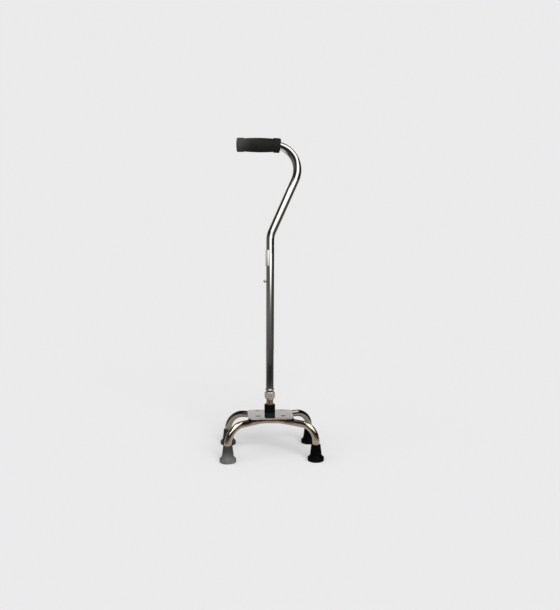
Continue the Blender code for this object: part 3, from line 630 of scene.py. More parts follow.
def plating_group():
    """Colour, Roughness and Height of bright plating."""
    group, given = new_group(
        "plating", {"Colour": (0.6, 0.6, 0.6, 1), "Tarnish Colour": (0.4, 0.33, 0.26, 1),
                    "Tarnish": 0.2, "Smooth": 0.05, "Hazy": 0.16, "Scratches": 0.3},
        ["Colour", "Roughness", "Height"])
    place = object_place(group)
    patches = add(group, "TexNoise", place, Scale=28.0, Detail=5.0, Roughness=0.62, Distortion=0.6)
    spots = add(group, "TexNoise", place, Scale=420.0, Detail=2.0, Roughness=0.5)
    stretch = add(group, "Mapping", place, Scale=(900.0, 900.0, 60.0), Rotation=(0.3, 0.2, 0.1))
    lines = add(group, "TexNoise", stretch, Scale=1.0, Detail=3.0, Roughness=0.7)
    patchy = add(group, "MapRange", patches, From_Min=0.38, From_Max=0.72)
    scratch = add(group, "MapRange", lines, From_Min=0.60, From_Max=0.74)
    speck = add(group, "MapRange", spots, From_Min=0.62, From_Max=0.80)
    tarnish = product(group, patchy, given["Tarnish"])
    marked = product(group, scratch, given["Scratches"])
    haze = add(group, "Math", patchy, given["Tarnish"], marked, operation="MULTIPLY_ADD",
               use_clamp=True)
    add(group, "NodeGroupOutput",
        Colour=blended(group, tarnish, given["Colour"], given["Tarnish Colour"]),
        Roughness=add(group, "MapRange", haze, To_Min=given["Smooth"], To_Max=given["Hazy"]),
        Height=add(group, "Math", marked, 0.5, product(group, speck, 0.35),
                   operation="MULTIPLY_ADD"))
    return group


def rubber_group():
    """Colour, Roughness and Height of moulded rubber, with a colour blended in towards one end:
    dust on the tips, painted light on the grip.
    """
    group, given = new_group(
        "moulded_rubber", {"Colour": (0.012, 0.012, 0.012, 1), "Dust Colour": (0.2, 0.19, 0.18, 1),
                           "Dust": 0.3, "Along": 0.0, "Dust Full": 0.0, "Dust Gone": 0.04,
                           "Grain": 900.0, "Shine": 0.45, "Dull": 0.75, "Even": 0.55},
        ["Colour", "Roughness", "Height"])
    place = object_place(group)
    low = add(group, "MapRange", given["Along"], interpolation_type="SMOOTHSTEP", To_Min=1.0,
              To_Max=0.0, From_Min=given["Dust Full"], From_Max=given["Dust Gone"])
    cloud = add(group, "TexNoise", place, Scale=95.0, Detail=6.0, Roughness=0.65)
    clouded = add(group, "MapRange", cloud, From_Min=0.30, From_Max=0.62, To_Min=given["Even"])
    amount = product(group, product(group, low, clouded), given["Dust"], use_clamp=True)
    grain = add(group, "TexVoronoi", place, feature="SMOOTH_F1", Smoothness=0.6,
                Scale=given["Grain"])
    fine = add(group, "TexNoise", place, Detail=3.0, Roughness=0.6, Scale=given["Grain"])
    add(group, "NodeGroupOutput",
        Colour=blended(group, amount, given["Colour"], given["Dust Colour"]),
        Roughness=add(group, "MapRange", clouded, From_Min=0.55, To_Min=given["Shine"],
                      To_Max=given["Dull"]),
        Height=add(group, "Math", grain, fine, operation="ADD"))
    return group


def heat_group():
    """A mask that is 1 at a weld and falls off around it in uneven rings, left and right alike."""
    group, given = new_group("heat_tint", {"Centre": (0, 0, 0), "Reach": 0.012}, ["Mask"])
    place = object_place(group)
    x, y, z = add(group, "SeparateXYZ", place).outputs
    folded = add(group, "CombineXYZ", add(group, "Math", x, operation="ABSOLUTE"), y, z)
    away = add(group, "VectorMath", folded, given["Centre"], operation="DISTANCE").outputs["Value"]
    wobble = add(group, "TexNoise", place, Scale=240.0, Detail=4.0)
    uneven = add(group, "Math", wobble, 0.006, away, operation="MULTIPLY_ADD")
    add(group, "NodeGroupOutput",
        Mask=add(group, "MapRange", uneven, interpolation_type="SMOOTHSTEP", From_Min=0.004,
                 From_Max=given["Reach"], To_Min=1.0, To_Max=0.0))
    return group


plating = plating_group()
rubber = rubber_group()
heat = heat_group()
print("groups", [g.name for g in (plating, rubber, heat)])

# %% Plated and rubber finishes
FINE_RELIEF = 0.0000012         # how deep a bump goes, in metres
STEEL_RELIEF = 0.000006
RUBBER_RELIEF = 0.00002


def shaded(material, colour, rough, height, depth, metallic=0.0, level=0.5):
    """Join a finish's colour, gloss and relief to its shader."""
    tree = material.node_tree
    bump = add(tree, "Bump", Strength=1.0, Distance=depth, Height=height)
    shader = add(tree, "BsdfPrincipled", Base_Color=colour, Roughness=rough, Normal=bump,
                 Metallic=metallic, Specular_IOR_Level=level)
    add(tree, "OutputMaterial", shader)
    return material


def plated_look(tree, colour, tarnish_colour, tarnish, smooth, hazy, scratches):
    """The plating group's three outputs."""
    return add(tree, "Group", node_tree=plating, Colour=(*colour, 1), Smooth=smooth, Hazy=hazy,
               Tarnish_Colour=(*tarnish_colour, 1), Tarnish=tarnish, Scratches=scratches).outputs


def plated(name, *look, depth=FINE_RELIEF, metallic=1.0):
    material, tree = new_material(name)
    return shaded(material, *plated_look(tree, *look), depth, metallic)


def moulded(name, colour, blend_colour, blend, blend_span, grain, shine, dull, depth, level=0.5,
            axis="Z", even=0.55):
    """The blend colour is full at the first place along the axis and gone at the second."""
    material, tree = new_material(name)
    along = add(tree, "SeparateXYZ", object_place(tree)).outputs[axis]
    look = add(tree, "Group", node_tree=rubber, Colour=(*colour, 1), Dust_Colour=(*blend_colour, 1),
               Dust=blend, Dust_Full=blend_span[0], Dust_Gone=blend_span[1], Along=along, Grain=grain,
               Shine=shine, Dull=dull, Even=even)
    return shaded(material, *look.outputs, depth, level=level)


# name, colour, tarnish colour, tarnish, smooth, hazy, scratches
shaft_chrome = plated("shaft_chrome", (0.635, 0.63, 0.62), (0.52, 0.50, 0.47), 0.14, 0.035, 0.08,
                      0.06)
ferrule_chrome = plated("ferrule_chrome", (0.45, 0.44, 0.42), (0.33, 0.30, 0.27), 0.30, 0.08,
                        0.20, 0.2)
satin_nickel = plated("satin_nickel", (0.42, 0.39, 0.365), (0.34, 0.305, 0.28), 0.35, 0.24, 0.38,
                      0.3, depth=0.000004, metallic=0.70)
button_nickel = plated("button_nickel", (0.34, 0.29, 0.25), (0.20, 0.16, 0.13), 0.4, 0.16, 0.34,
                       0.4)
weld_metal = plated("weld_metal", (0.36, 0.30, 0.26), (0.15, 0.10, 0.07), 0.75, 0.30, 0.58, 0.6,
                    depth=RUBBER_RELIEF)
burnt_weld = plated("burnt_weld", (0.085, 0.070, 0.060), (0.030, 0.022, 0.018), 0.75, 0.30, 0.58,
                    0.6, depth=RUBBER_RELIEF)
spring_steel = plated("oiled_spring", (0.30, 0.30, 0.32), (0.12, 0.10, 0.09), 0.6, 0.22, 0.42, 0.6,
                      depth=STEEL_RELIEF)
washer_steel = plated("washer_zinc", (0.55, 0.55, 0.53), (0.33, 0.25, 0.18), 0.6, 0.28, 0.50, 0.5,
                      depth=STEEL_RELIEF)
# name, colour, blend colour, blend, where the blend is full and gone, grain, shine, dull, relief
tip_black = moulded("tip_black", (0.0013, 0.0012, 0.0012), (0.012, 0.011, 0.010), 0.25,
                    (0.0, 0.012), 1300.0, 0.30, 0.50, RUBBER_RELIEF, level=0.015)
# the rear left tip is painted a lighter black: painted light from the left falling on it
tip_black_painted_light = moulded("tip_black_painted_light", (0.013, 0.012, 0.013), (0.036, 0.034, 0.035), 0.6, (0.0, 0.036),
                   1300.0, 0.45, 0.65, RUBBER_RELIEF, level=0.12)
tip_grey = moulded("tip_grey", (0.023, 0.023, 0.022), (0.110, 0.110, 0.110), 1.0, (0.002, 0.032),
                   1300.0, 0.55, 0.75, RUBBER_RELIEF, level=0.15)
# the grip's lighter blend towards its closed end is painted light, from the left, falling on that
# end
grip_black_painted_end_light = moulded("grip_black_painted_end_light", (0.0095, 0.0093, 0.0090), (0.039, 0.038, 0.037), 0.9,
                     (-0.080, -0.038), 1800.0, 0.58, 0.68, 0.000006, level=0.05, axis="X",
                     even=0.85)
sleeve_black = moulded("sleeve_black", (0.0014, 0.0014, 0.0017), (0.010, 0.009, 0.008), 0.2,
                       (0.09, 0.115), 1500.0, 0.28, 0.48, RUBBER_RELIEF, level=0.03)
white_nylon = moulded("white_nylon", (0.74, 0.735, 0.71), (0.60, 0.58, 0.52), 0.5, (0.0, 2.0),
                      1300.0, 0.35, 0.6, 0.00001)
print("finishes", len(bpy.data.materials))

# %% [markdown]
# ## Plate finish
# The plate is plated like the tubes, but the plug welds have drawn brownish patches on its face,
# darkest in front. The heat group's mask is folded at x = 0, so one centre serves the left and the
# right weld. The front welds have a second, smaller and darker patch. A step in height just under
# the top paints the underside dark brown, as painted shade under the plate.

# %% Plate finish
PLUG_WELD_X = 0.0294
PLUG_WELD_Y = {"front": -0.01406, "rear": 0.04244}
PLATE_TOP = 0.0892375
BURNS = [                       # centre, reach, colour, strongest share
    ((0.0285, PLUG_WELD_Y["front"], PLATE_TOP), 0.0175, (0.24, 0.18, 0.15), 0.5),
    ((0.0285, PLUG_WELD_Y["rear"], PLATE_TOP), 0.0165, (0.27, 0.19, 0.155), 0.5),
    ((0.0280, PLUG_WELD_Y["front"], PLATE_TOP), 0.0135, (0.045, 0.038, 0.034), 0.95)]
# the underside's dark brown is painted shade under the plate
UNDERSIDE_PAINTED_SHADE = (0.050, 0.038, 0.028, 1)
UNDERSIDE_SHADE_FADE = (PLATE_TOP - 0.0014, PLATE_TOP - 0.0008)


def plate_finish():
    material, tree = new_material("plate_chrome")
    tone, rough, height = plated_look(tree, (0.385, 0.352, 0.325), (0.31, 0.273, 0.237), 0.5, 0.05,
                                      0.17, 0.35)
    for centre, reach, colour, most in BURNS:
        ring = add(tree, "Group", node_tree=heat, Centre=centre, Reach=reach)
        tone = blended(tree, product(tree, ring, most), tone, (*colour, 1))
    level = add(tree, "SeparateXYZ", object_place(tree)).outputs["Z"]
    # below the top the plate is painted dark brown: painted shade
    below = add(tree, "MapRange", level, *UNDERSIDE_SHADE_FADE, 1.0, 0.0)
    return shaded(material, blended(tree, below, tone, UNDERSIDE_PAINTED_SHADE), rough, height, 0.000002, 0.95)


plate_chrome = plate_finish()
print("burns on the plate", len(BURNS))

# %% [markdown]
# ## Leg and stem finishes
# The leg tubes are plated with a warm nickel. Under the plate the welding has scorched them brown,
# and the black right against the plate is painted shade from the plate's overhang. The rear tube is
# a darker copy of the front tube's finish, as painted shade.
# The stem is rubbed bright and brown in long stripes, because the handle slides on it.

# %% Leg finish
# One mask carries the heat scorch and, right against the plate, painted shade from its overhang.
SCORCH_AND_SHADE_SPAN = (0.0782, 0.0830)  # heights: clean below the first, black above the second
SCORCH_AND_SHADE_FLAMES = 0.0060          # how far the scorch and the painted shade lick up and down
SCORCH_AND_SHADE_REACH = (0.018, 0.040)   # from the middle: full within the first, gone at the second
SCORCH_AND_SHADE_SHOWS = 0.02             # where scorch and painted shade are weaker, the plating is left as it is
SCORCH_BROWN = (0.27, 0.165, 0.090, 1)
SCORCH_AND_SHADE_BLACK = (0.016, 0.012, 0.009, 1)


def leg_finish(name, colour, tarnish_colour, tarnish):
    material, tree = new_material(name)
    tone, rough, height = plated_look(tree, colour, tarnish_colour, tarnish, 0.04, 0.11, 0.12)
    place = object_place(tree)
    x, _, z = add(tree, "SeparateXYZ", place).outputs
    flames = add(tree, "TexNoise", place, Scale=150.0, Detail=3.0, Roughness=0.6)
    lifted = add(tree, "Math", flames, SCORCH_AND_SHADE_FLAMES, z, operation="MULTIPLY_ADD")
    high = add(tree, "MapRange", lifted, *SCORCH_AND_SHADE_SPAN)
    aside = add(tree, "Math", x, operation="ABSOLUTE")
    inside = add(tree, "MapRange", aside, *SCORCH_AND_SHADE_REACH, 1.0, 0.0)
    # scorch further out, painted shade where the mask turns black under the plate
    scorch_and_shade = product(tree, high, inside)
    shades = add(tree, "ValToRGB", scorch_and_shade)
    ramp = shades.color_ramp.elements
    ramp[0].color = (*colour, 1)
    ramp[1].position, ramp[1].color = 0.72, SCORCH_AND_SHADE_BLACK
    ramp.new(0.30).color = SCORCH_BROWN
    touched = add(tree, "Math", scorch_and_shade, SCORCH_AND_SHADE_SHOWS, operation="GREATER_THAN")
    return shaded(material, blended(tree, touched, tone, shades.outputs[0]), rough, height,
                  FINE_RELIEF, 1.0)


leg_nickel = {
    "front": leg_finish("front_leg_nickel", (0.395, 0.33, 0.265), (0.27, 0.21, 0.155), 0.38),
    # the rear tube's darker copy of the nickel is painted shade
    "rear": leg_finish("rear_leg_nickel_painted_shade", (0.28, 0.24, 0.20), (0.15, 0.115, 0.085), 0.60)}
print("leg finishes", list(leg_nickel))

# %% Stem finish
def stem_finish():
    material, tree = new_material("stem_nickel")
    tone, rough, height = plated_look(tree, (0.070, 0.052, 0.030), (0.045, 0.032, 0.020), 0.5, 0.34,
                                      0.50, 0.3)
    stretch = add(tree, "Mapping", object_place(tree), Scale=(330.0, 330.0, 9.0))
    streaks = add(tree, "TexNoise", stretch, Scale=1.0, Detail=2.0, Roughness=0.5)
    worn = add(tree, "MapRange", streaks, From_Min=0.44, From_Max=0.60)
    rubbed = blended(tree, worn, tone, (0.19, 0.145, 0.085, 1))
    return shaded(material, rubbed, rough, height, FINE_RELIEF, metallic=0.20, level=0.10)


stem_nickel = stem_finish()
print("finishes", len(bpy.data.materials))

# %% [markdown]
# ## Handle tube
# One steel tube, 19 mm across, bent twice: 114 degrees into the grip and 24 degrees from the
# leaning neck to the shaft. Its thirteen height holes are drilled through one wall. The tube gets
# its wall first, and then one cut with thirteen short bars makes the holes.

# %% Handle tube
GAP = 0.0003                    # pieces that touch are drawn this far apart
SHAFT_RADIUS = 0.009525
SHAFT_WALL = 0.0012
SHAFT_BOTTOM = 0.1397375
NECK_CORNER = 0.5046375
NECK_LEAN = math.radians(24)
GRIP_AXIS = 0.7116375
GRIP_OVERHANG = 0.0787
GRIP_END_WALL = 0.0040
BEND_RADII = (0.056, 0.045)     # top bend, neck bend
LOWEST_HOLE = 0.1703375
HOLE_STEP = 0.01905
HOLE_COUNT = 13
HOLE_RADIUS = 0.0034
HOLE_OVERCUT = 0.003            # how much longer than the wall is thick each cutting bar is
DIE_MARK = (math.radians(52), 0.4815)   # turned to the right from the front, height
DIE_MARK_REACH = 0.0027
DIE_MARK_RISE = 0.00090


def handle_corners(left_end):
    across = (GRIP_AXIS - NECK_CORNER) * math.tan(NECK_LEAN)
    return [(left_end, STEM_Y, GRIP_AXIS), (across, STEM_Y, GRIP_AXIS), (0, STEM_Y, NECK_CORNER),
            (0, STEM_Y, SHAFT_BOTTOM)]


ALONG_X = Matrix.Rotation(math.pi / 2, 4, "Y")      # lays a piece that stands upright along X


def side_holes(heights, radius, wall):
    """Short bars through the -X wall of an upright tube and no further."""
    build = bmesh.new()
    for height in heights:
        pose = Matrix.Translation((wall / 2 - radius, STEM_Y, height))
        add_bar(build, HOLE_RADIUS, wall + HOLE_OVERCUT, 40, pose @ ALONG_X)
    return build


def die_mark(build):
    """A low swelling on the tube's right front, where the bender's die has pinched it."""
    angle, height = DIE_MARK
    centre = Vector((SHAFT_RADIUS * math.sin(angle), STEM_Y - SHAFT_RADIUS * math.cos(angle),
                     height))
    build.normal_update()
    for vert in build.verts:
        share = (vert.co - centre).length / DIE_MARK_REACH
        if share < 2:
            vert.co += vert.normal * DIE_MARK_RISE * math.exp(-2 * share * share)


tube = bent_tube(handle_corners(GRIP_END_WALL - GRIP_OVERHANG), BEND_RADII, SHAFT_RADIUS, sides=64,
                 run_step=0.0015)
die_mark(tube)
handle_tube = finished("bright_handle_tube", tube, "handle", shaft_chrome, ["handle_tube"])
thicken(handle_tube, SHAFT_WALL)
hole_heights = [LOWEST_HOLE + i * HOLE_STEP for i in range(HOLE_COUNT)]
cut(handle_tube, side_holes(hole_heights, SHAFT_RADIUS, SHAFT_WALL))
print("handle tube faces", len(handle_tube.data.polygons), "holes", len(hole_heights))

# %% [markdown]
# ## Hand grip
# A moulded rubber grip pushed over the tube's end. It has a closed end with a low dome, a collar, a
# groove, a body that swells a little in its middle, and a cuff that follows the start of the bend.
# It could be swept, but it is round everywhere, so it is turned lying down and its cuff is bent.

# %% Hand grip
GRIP_LENGTH = 0.1010
GRIP_DOME = 0.0018
GRIP_DOME_SPAN = 0.84           # share of the radius that the dome takes
GRIP_END_ROUNDING = 0.0020
GRIP_CUFF_LENGTH = 0.0157
GRIP_FLEX_RADIUS = 0.150
GRIP_SAG = 0.0004               # the soft grip hangs a little on its tube
GRIP_COLLAR_RADIUS = 0.0160
GRIP_GROOVE_RADIUS = 0.0148
GRIP_CROWN_END_RADIUS = 0.0151
GRIP_CROWN_RADIUS = 0.0163
GRIP_CUFF_RADIUS = 0.0166
GRIP_COLLAR_END = 0.0176        # from the closed end to the groove
GRIP_CROWN_START = 0.0198
DOME_STEPS = 6
CROWN_STEPS = 14


def grip_half_section():
    """(radius, distance from the closed end, rounding), from the dome's middle to the cuff."""
    cuff = GRIP_LENGTH - GRIP_CUFF_LENGTH
    section = [(0, 0, 0)]
    for k in range(1, DOME_STEPS + 1):
        share = GRIP_DOME_SPAN * k / DOME_STEPS
        section.append((GRIP_COLLAR_RADIUS * share, GRIP_DOME * share * share, 0))
    section += [(GRIP_COLLAR_RADIUS, GRIP_DOME, GRIP_END_ROUNDING),
                (GRIP_COLLAR_RADIUS, GRIP_COLLAR_END, 0.0007),
                (GRIP_GROOVE_RADIUS, GRIP_COLLAR_END + 0.0002, 0.0003),
                (GRIP_GROOVE_RADIUS, GRIP_CROWN_START - 0.0002, 0.0002)]
    swell = GRIP_CROWN_RADIUS - GRIP_CROWN_END_RADIUS
    for k in range(CROWN_STEPS + 1):
        share = k / CROWN_STEPS
        section.append((GRIP_CROWN_END_RADIUS + swell * math.sin(math.pi * share),
                        GRIP_CROWN_START + (cuff - GRIP_CROWN_START) * share, 0))
    section += [(GRIP_CUFF_RADIUS, cuff + 0.0002, 0.0005)]
    section += [(GRIP_CUFF_RADIUS, cuff + GRIP_CUFF_LENGTH * k / 5, 0) for k in range(1, 5)]
    section += [(GRIP_CUFF_RADIUS, GRIP_LENGTH, 0.0028), (0, GRIP_LENGTH, 0)]
    return section


def bend_cuff(build):
    """Everything past the straight part turns down on a long radius."""
    straight = GRIP_LENGTH - GRIP_CUFF_LENGTH - 0.0010 - GRIP_OVERHANG
    pivot = Vector((straight, 0, -GRIP_FLEX_RADIUS))
    for vert in build.verts:
        past = vert.co.x - straight
        if past > 0:
            level = Vector((straight, vert.co.y, vert.co.z))
            vert.co = pivot + Matrix.Rotation(past / GRIP_FLEX_RADIUS, 3, "Y") @ (level - pivot)


grip_build = turned(grip_half_section(), sides=72, steps=4)
bmesh.ops.transform(grip_build, matrix=Matrix.Translation((-GRIP_OVERHANG, 0, 0)) @ ALONG_X,
                    verts=grip_build.verts)
bend_cuff(grip_build)
moved(grip_build, (0, STEM_Y, GRIP_AXIS - GRIP_SAG))
grip = finished("moulded_grip", grip_build, "handle", grip_black_painted_end_light, ["hand_grip"], 40)
bore = bent_tube(handle_corners(GRIP_END_WALL - GRIP_OVERHANG - GAP), BEND_RADII,
                 SHAFT_RADIUS + GAP, sides=64, closed=True)
cut(grip, bore, sharp=40)

# %% [markdown]
# ## Leg tubes
# Each pair of legs is one 15.9 mm tube, bowed in plan under the plate and then turned down to its
# two feet. The bends lie in three different planes, which spinning a ring of edges handles well.

# %% Leg tubes
FOOT_TRACK = 0.197
LEG_RADIUS = 0.0079375
LEG_WALL = 0.0012
LEG_AXIS_HEIGHT = 0.0780
LEG_BEND_RADII = (0.0415, 0.0345)       # left and right: bent by hand, they are not quite alike
LEG_BOW_RADIUS = 0.030
LEG_MIDDLE_LENGTH = 0.0396
LEG_END = 0.0103
LEG_PLAN = {"front": (STEM_Y - 0.0298, STEM_Y - 0.0948),     # depth under the plate, at the feet
            "rear": (STEM_Y + 0.0148, STEM_Y + 0.0475)}


def leg_corners(tube_y, foot_y):
    out, bow = FOOT_TRACK / 2, LEG_MIDDLE_LENGTH / 2
    left = [(-out, foot_y, LEG_END), (-out, foot_y, LEG_AXIS_HEIGHT),
            (-bow, tube_y, LEG_AXIS_HEIGHT)]
    return left + [(-x, y, z) for x, y, z in reversed(left)]


for end, (tube_y, foot_y) in LEG_PLAN.items():
    bends = (LEG_BEND_RADII[0], LEG_BOW_RADIUS, LEG_BOW_RADIUS, LEG_BEND_RADII[1])
    tube = bent_tube(leg_corners(tube_y, foot_y), bends, LEG_RADIUS, sides=56, run_step=0.02)
    leg = finished(f"bowed_{end}_legs", tube, "base", leg_nickel[end], [f"{end}_leg_tube"])
    thicken(leg, LEG_WALL)
    print(leg.name, "faces", len(leg.data.polygons))

# %% [markdown]
# ## Base plate
# A 3 mm pressed plate: a block whose upright corners are bevelled first, with a large radius, and
# whose top and bottom rims are bevelled after that. Four holes take the plug welds.

# %% Base plate
PLATE_WIDTH = 0.105
PLATE_FRONT = STEM_Y - 0.0654
PLATE_REAR = STEM_Y + 0.0259
PLATE_THICKNESS = 0.0030
PLATE_CORNER_RADIUS = 0.0095
PLATE_RIM = 0.0011
PLUG_WELD_RADIUS = 0.0040


def plate_block():
    build = bmesh.new()
    bmesh.ops.create_cube(build, size=1.0)
    bmesh.ops.scale(build, vec=(PLATE_WIDTH, PLATE_REAR - PLATE_FRONT, PLATE_THICKNESS),
                    verts=build.verts)
    for upright, offset, segments in ((True, PLATE_CORNER_RADIUS, 12), (False, PLATE_RIM, 5)):
        edges = [e for e in build.edges
                 if (abs(e.verts[0].co.z - e.verts[1].co.z) > PLATE_THICKNESS / 2) == upright]
        bmesh.ops.bevel(build, geom=edges, offset=offset, segments=segments, profile=0.5,
                        affect="EDGES", material=-1)
    return moved(build, (0, (PLATE_FRONT + PLATE_REAR) / 2, PLATE_TOP - PLATE_THICKNESS / 2))


def weld_places():
    for end, y in PLUG_WELD_Y.items():
        for side, x in (("left", -PLUG_WELD_X), ("right", PLUG_WELD_X)):
            yield f"{end}_{side}", x, y


def weld_holes():
    build = bmesh.new()
    for _, x, y in weld_places():
        add_bar(build, PLUG_WELD_RADIUS + GAP, PLATE_THICKNESS * 3, 48,
                Matrix.Translation((x, y, PLATE_TOP - PLATE_THICKNESS / 2)))
    return build


plate = finished("plate_with_round_corners", plate_block(), "base", plate_chrome, ["base_plate"])
cut(plate, weld_holes())
print("plate faces", len(plate.data.polygons))

# %% [markdown]
# ## Welds
# A plug weld is a puddle that was ground almost flush. Each is turned with a low crown, whose
# vertices are then sunk by a smooth noise, never raised. The fillets under the plate are sweeps
# beside the leg tubes, with the overlapping ripples that a hand-held torch leaves.

# %% Plug welds
CROWN_RISE = 0.0003
PIT_DEPTH = 0.00012
PIT_SCALE = 900                 # pits in a metre, or nearly one in a millimetre
SEED_STEP = 7.0                 # so that no two welds are pitted alike
crown = PLATE_THICKNESS + CROWN_RISE
crown_section = [(0, crown, 0), (0.0016, crown, 0), (0.0031, crown - 0.0001, 0),
                 (PLUG_WELD_RADIUS, PLATE_THICKNESS, 0), (PLUG_WELD_RADIUS, 0.0, 0), (0, 0.0, 0)]

for number, (name, x, y) in enumerate(weld_places()):
    puddle = turned(crown_section, sides=40)
    for vert in [v for v in puddle.verts if v.co.z > PLATE_THICKNESS + 0.00005]:
        seed = Vector((number * SEED_STEP, 0, 0))
        vert.co.z -= PIT_DEPTH * abs(noise.noise(vert.co * PIT_SCALE + seed))
    moved(puddle, (x, y, PLATE_TOP - PLATE_THICKNESS))
    finished(f"ground_plug_weld_{name}", puddle, "base",
             burnt_weld if "front" in name else weld_metal, [f"plug_weld_{name}"], 50)
    print("plug weld", name)

# %% Fillet welds
BEAD_RADIUS = 0.0019
BEAD_MARGIN = 0.0125
BEAD_PITCH = 0.0017             # one ripple of the torch
BEAD_DEPTH = 0.00022
BEAD_WANDER = 0.25              # how unevenly the ripples follow each other, in pitches


def bead_corners(end, sign):
    """Beside a leg tube, along its bow. The rear aft bead stops where the bow starts."""
    tube_y, foot_y = LEG_PLAN[end]
    half = LEG_MIDDLE_LENGTH / 2
    reach, drop = LEG_RADIUS + BEAD_RADIUS + GAP, LEG_RADIUS - BEAD_RADIUS
    shift = sign * (math.sqrt(reach ** 2 - drop ** 2) + GAP)
    height = PLATE_TOP - PLATE_THICKNESS - GAP - BEAD_RADIUS
    slope = math.atan2(foot_y - tube_y, FOOT_TRACK / 2 - half)
    if shift > 0 and slope > 0:
        straight = half - LEG_BOW_RADIUS * math.tan(slope / 2)
        return [(-straight, tube_y + shift, height), (straight, tube_y + shift, height)], ()
    bead_end = PLATE_WIDTH / 2 - BEAD_MARGIN
    bow_x = half - shift * math.tan(slope / 2)
    end_x = bead_end - shift * math.sin(slope)
    share = (bead_end - half) / (FOOT_TRACK / 2 - half)
    end_y = tube_y + (foot_y - tube_y) * share + shift * math.cos(slope)
    bow = LEG_BOW_RADIUS - math.copysign(shift, shift * slope)
    side = [(-end_x, end_y, height), (-bow_x, tube_y + shift, height)]
    return side + [(-x, y, z) for x, y, z in reversed(side)], (bow, bow)


def ripple(build):
    """Pull the bead in between two ripples. Only ever inwards, so it stays in its own room."""
    bmesh.ops.recalc_face_normals(build, faces=build.faces)
    build.normal_update()
    for vert in build.verts:
        phase = vert.co.x / BEAD_PITCH + BEAD_WANDER * noise.noise(vert.co * 300)
        vert.co -= BEAD_DEPTH * (0.5 + 0.5 * math.cos(math.tau * phase)) ** 2 * vert.normal


for end in LEG_PLAN:
    for side, sign in (("fore", -1), ("aft", 1)):
        corners, bows = bead_corners(end, sign)
        length = sum((Vector(b) - Vector(a)).length for a, b in zip(corners, corners[1:]))
        bead = bent_tube(corners, bows, BEAD_RADIUS, sides=16, bend_step=math.radians(1.2),
                         run_step=BEAD_PITCH / 6, closed=True)
        ripple(bead)
        finished(f"{end}_{side}_fillet_weld", bead, "base", weld_metal, [f"{end}_tube_weld_{side}"],
                 60)
        print(end, side, "bead", round(length * 1000, 1), "mm")

# %% [markdown]
# ## Stem and sleeve
# The stem is a thinner tube that stands on the plate and runs up inside the shaft. Only a
# centimetre of it shows at the lowest setting, and the rest when the handle is raised. Its hole
# lets the snap button through. The sleeve is a short length of rubber hose round its foot.

# %% Stem and sleeve
STEM_RADIUS = 0.0080
STEM_WALL = 0.0012
STEM_TOP = 0.4329375
BUTTON_HEIGHT = 0.3989375
SLEEVE_RADIUS = 0.0127
SLEEVE_HEIGHT = 0.0190
SLEEVE_RECESS = (0.0113, 0.0030)        # radius and height of the room for the stem's weld
SLIDING_BORE = STEM_RADIUS + GAP

foot = PLATE_TOP + GAP
stem_build = bent_tube([(0, STEM_Y, foot), (0, STEM_Y, STEM_TOP)], (), STEM_RADIUS, sides=56,
                       run_step=0.03)
stem = finished("plated_stem", stem_build, "base", stem_nickel, ["stem_tube"])
thicken(stem, STEM_WALL)
cut(stem, side_holes([BUTTON_HEIGHT], STEM_RADIUS, STEM_WALL))

sleeve_top = foot + SLEEVE_HEIGHT
recess, recess_top = SLEEVE_RECESS[0], foot + SLEEVE_RECESS[1]
sleeve_corners = [(SLEEVE_RADIUS, sleeve_top, 0.0009), (SLEEVE_RADIUS, foot, 0.0004),
                  (recess, foot, 0), (recess, recess_top, 0), (SLIDING_BORE, recess_top, 0),
                  (SLIDING_BORE, sleeve_top, 0.0004)]
finished("rubber_sleeve", moved(turned(sleeve_corners), (0, STEM_Y, 0)), "base", sleeve_black,
         ["stem_sleeve"])
print("sleeve top", round(sleeve_top, 4))

# %% [markdown]
# ## Ferrule and lock nut
# The ferrule closes the shaft's lower end. Its spigot carries the thread that the nut turns on. A
# thread is one small ridge spun about the axis while it sinks, one pitch for each turn. The nut is
# a hexagon bar cut by a lathe: a boolean keeps what the bar and a turned blank have in common.

# %% Ferrule
FERRULE_BOTTOM = 0.1384375
FERRULE_TOP = 0.1460375
SPIGOT_BOTTOM = 0.1289375
SPIGOT_RADIUS = 0.00975
FERRULE_RADIUS = 0.0109
THREAD_PITCH = 0.0015
THREAD_ROOT = 0.0090
THREAD_HALF = 0.00055           # half the width of the ridge at its foot
THREAD_INSET = 0.0009           # from each end of the spigot to the thread
THREAD_STEPS = 40               # in one turn
SEAT = FERRULE_BOTTOM + 0.0010  # the shaft stands on this step inside the ferrule

ferrule_corners = [
    (SHAFT_RADIUS + 0.0006, FERRULE_TOP, 0.0002), (FERRULE_RADIUS, FERRULE_TOP - 0.0018, 0.0014),
    (FERRULE_RADIUS - 0.0012, FERRULE_BOTTOM + 0.0034, 0.0010),
    (FERRULE_RADIUS - 0.0009, FERRULE_BOTTOM, 0.0005), (THREAD_ROOT, FERRULE_BOTTOM, 0),
    (THREAD_ROOT, SPIGOT_BOTTOM, 0.0003), (SLIDING_BORE, SPIGOT_BOTTOM, 0),
    (SLIDING_BORE, SEAT, 0), (SHAFT_RADIUS + GAP, SEAT, 0), (SHAFT_RADIUS + GAP, FERRULE_TOP, 0)]


def thread_ridge():
    """A triangle that goes round and down at once, closed at both ends."""
    build = bmesh.new()
    start = FERRULE_BOTTOM - THREAD_INSET
    root = THREAD_ROOT - 0.0002
    corners = [(root, 0, start + THREAD_HALF), (SPIGOT_RADIUS, 0, start),
               (root, 0, start - THREAD_HALF)]
    face = build.faces.new([build.verts.new(corner) for corner in corners])
    turns = (start - SPIGOT_BOTTOM - THREAD_INSET) / THREAD_PITCH
    steps = round(turns * THREAD_STEPS)
    spin(build, [face], math.tau * turns, steps, sink=(0, 0, -THREAD_PITCH * turns / steps))
    bmesh.ops.recalc_face_normals(build, faces=build.faces)
    print("thread", round(turns, 2), "turns")
    return build


